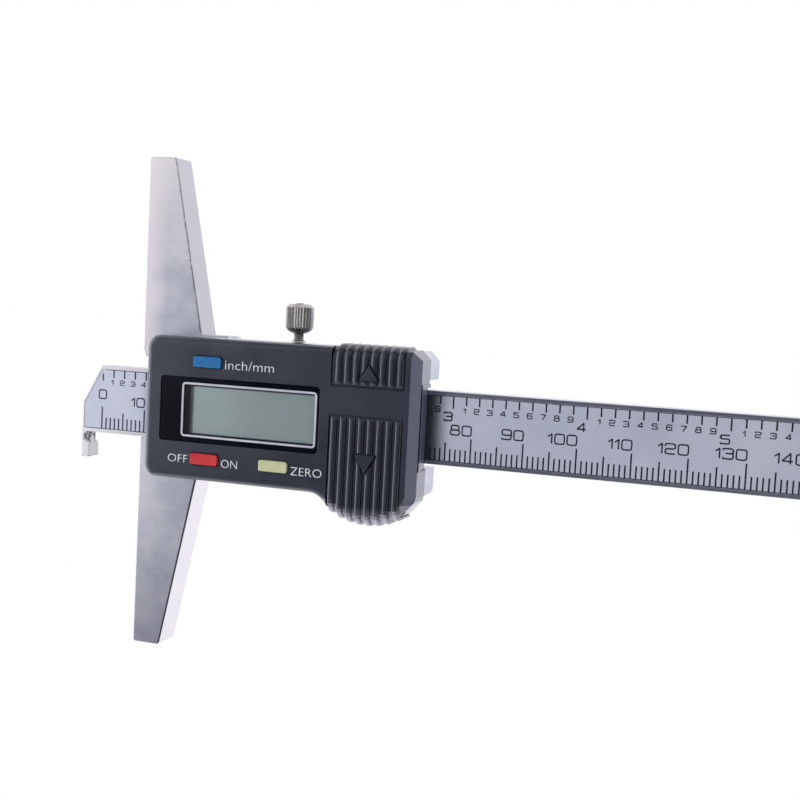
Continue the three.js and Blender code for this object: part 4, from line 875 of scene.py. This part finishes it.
# Cards that only polished faces mirror. A card glows in one colour, or goes from bright to dark over a span
# of heights. The ceiling does so along a slanted line that bends back at the top, and is grey at its sides.
mirrorCards = {
    "ceiling": {
        "corners": [(-1.4, -1.2, 0.5), (-1.4, 1.2, 0.5), (1.2, 1.2, 0.5), (1.2, -1.2, 0.5)],
        "bright": (1.0, 0.985, 1.0, 1), "dark": (0.09, 0.1, 0.135, 1), "span": (-0.43, -0.305),
        "along": (1.0, -0.26, 0.0), "bend": 0.25,
        "aside": (0.55, 0.55, 0.58, 1), "asideSpan": (0.26, 0.34), "asideShift": 0.04,
    },
    "tipFlare": {
        "corners": [
            (-0.62, -0.105, 0.49), (-0.62, -0.02, 0.49), (-0.415, -0.02, 0.49), (-0.415, -0.105, 0.49),
        ],
        "glow": (2.0, 2.0, 2.02, 1),
    },
    "leftSide": {
        "corners": [(-0.85, -0.6, 0.04), (-0.85, 0.6, 0.04), (-0.85, 0.6, 0.45), (-0.85, -0.6, 0.45)],
        "glow": (2.4, 2.5, 3.0, 1),
    },
    "rightSide": {
        "corners": [(0.9, -0.5, 0.1), (0.9, -0.5, 0.45), (0.9, 0.5, 0.45), (0.9, 0.5, 0.1)],
        "glow": (1.4, 1.4, 1.65, 1),
    },
    "backSide": {
        "corners": [(-0.6, 0.9, 0), (0.7, 0.9, 0), (0.7, 0.9, 0.5), (-0.6, 0.9, 0.5)],
        "bright": (0.6, 0.6, 0.66, 1), "dark": (0.08, 0.08, 0.1, 1), "span": (0, 0.12),
    },
    "frontSide": {
        "corners": [(-0.6, -0.9, 0), (-0.6, -0.9, 0.5), (0.7, -0.9, 0.5), (0.7, -0.9, 0)],
        "bright": (1.6, 1.6, 1.75, 1), "dark": (0.08, 0.08, 0.1, 1), "span": (0.12, 0.4),
    },
}


def slantedGlow(tree, look, place):  # the ceiling's colour
    split = addNode(tree, "ShaderNodeSeparateXYZ", {0: place}).outputs
    along = addNode(tree, "ShaderNodeVectorMath", {0: place, 1: look["along"]}, operation="DOT_PRODUCT")
    bend = calc(tree, "MULTIPLY", calc(tree, "MAXIMUM", split["Y"], 0.0), look["bend"])
    amount = remap(tree, calc(tree, "SUBTRACT", along.outputs["Value"], bend), look["span"])
    sideways = calc(tree, "ABSOLUTE", calc(tree, "ADD", split["Y"], look["asideShift"]))
    lit = mixColour(tree, amount, look["bright"], look["dark"])
    return mixColour(tree, remap(tree, sideways, look["asideSpan"]), lit, look["aside"])


def cardGlow(tree, look):
    if "glow" in look:
        return look["glow"]
    place = addNode(tree, "ShaderNodeTexCoord").outputs["Object"]
    if "along" in look:
        return slantedGlow(tree, look, place)
    height = addNode(tree, "ShaderNodeSeparateXYZ", {0: place}).outputs["Z"]
    return mixColour(tree, remap(tree, height, look["span"]), look["bright"], look["dark"])


def makeMirrorCards():
    for name, look in mirrorCards.items():
        material, tree, _ = newMaterial(name)
        glow = addNode(tree, "ShaderNodeEmission", {"Color": cardGlow(tree, look), "Strength": 1.0})
        feed(tree, glow.outputs[0], surfaceOf(tree))
        card = stagePlane(name, look["corners"], material)
        card.visible_camera = False
        card.visible_diffuse = False
        card.visible_transmission = False
        card.visible_shadow = False
        card.visible_volume_scatter = False


def makeWorld():
    world = bpy.data.worlds.new("studio")
    bpy.context.scene.world = world
    world.use_nodes = True
    tree = world.node_tree
    background = tree.nodes["Background"].inputs
    background["Color"].default_value = stage["worldColour"]
    strength = remap(tree, seenOrMirrored(tree), (0, 1), (stage["worldStrength"], stage["worldSeen"]))
    feed(tree, strength, background["Strength"])


lampAim = (-0.05, 0, 0)
lamps = {
    "leftBox": {"place": (-0.36, 0.1, 0.6), "size": (0.22, 0.3), "power": 3.0},
    "rightBox": {"place": (0.6, -0.05, 0.6), "size": (0.5, 0.6), "power": 0.7},
}


def makeLamps():
    for name, lamp in lamps.items():
        data = bpy.data.lights.new(name, "AREA")
        data.shape = "RECTANGLE"
        data.size, data.size_y = lamp["size"]
        data.energy = lamp["power"]
        box = bpy.data.objects.new(name, data)
        bpy.context.scene.collection.objects.link(box)
        box.location = lamp["place"]
        aim = Vector(lampAim) - Vector(lamp["place"])
        box.rotation_euler = aim.to_track_quat("-Z", "Y").to_euler()
        box.visible_glossy = False
        box.visible_transmission = False


makeFloor()
makeMirrorCards()
makeWorld()
makeLamps()
bpy.context.scene.view_settings.view_transform = "Standard"
print("stage and light set")
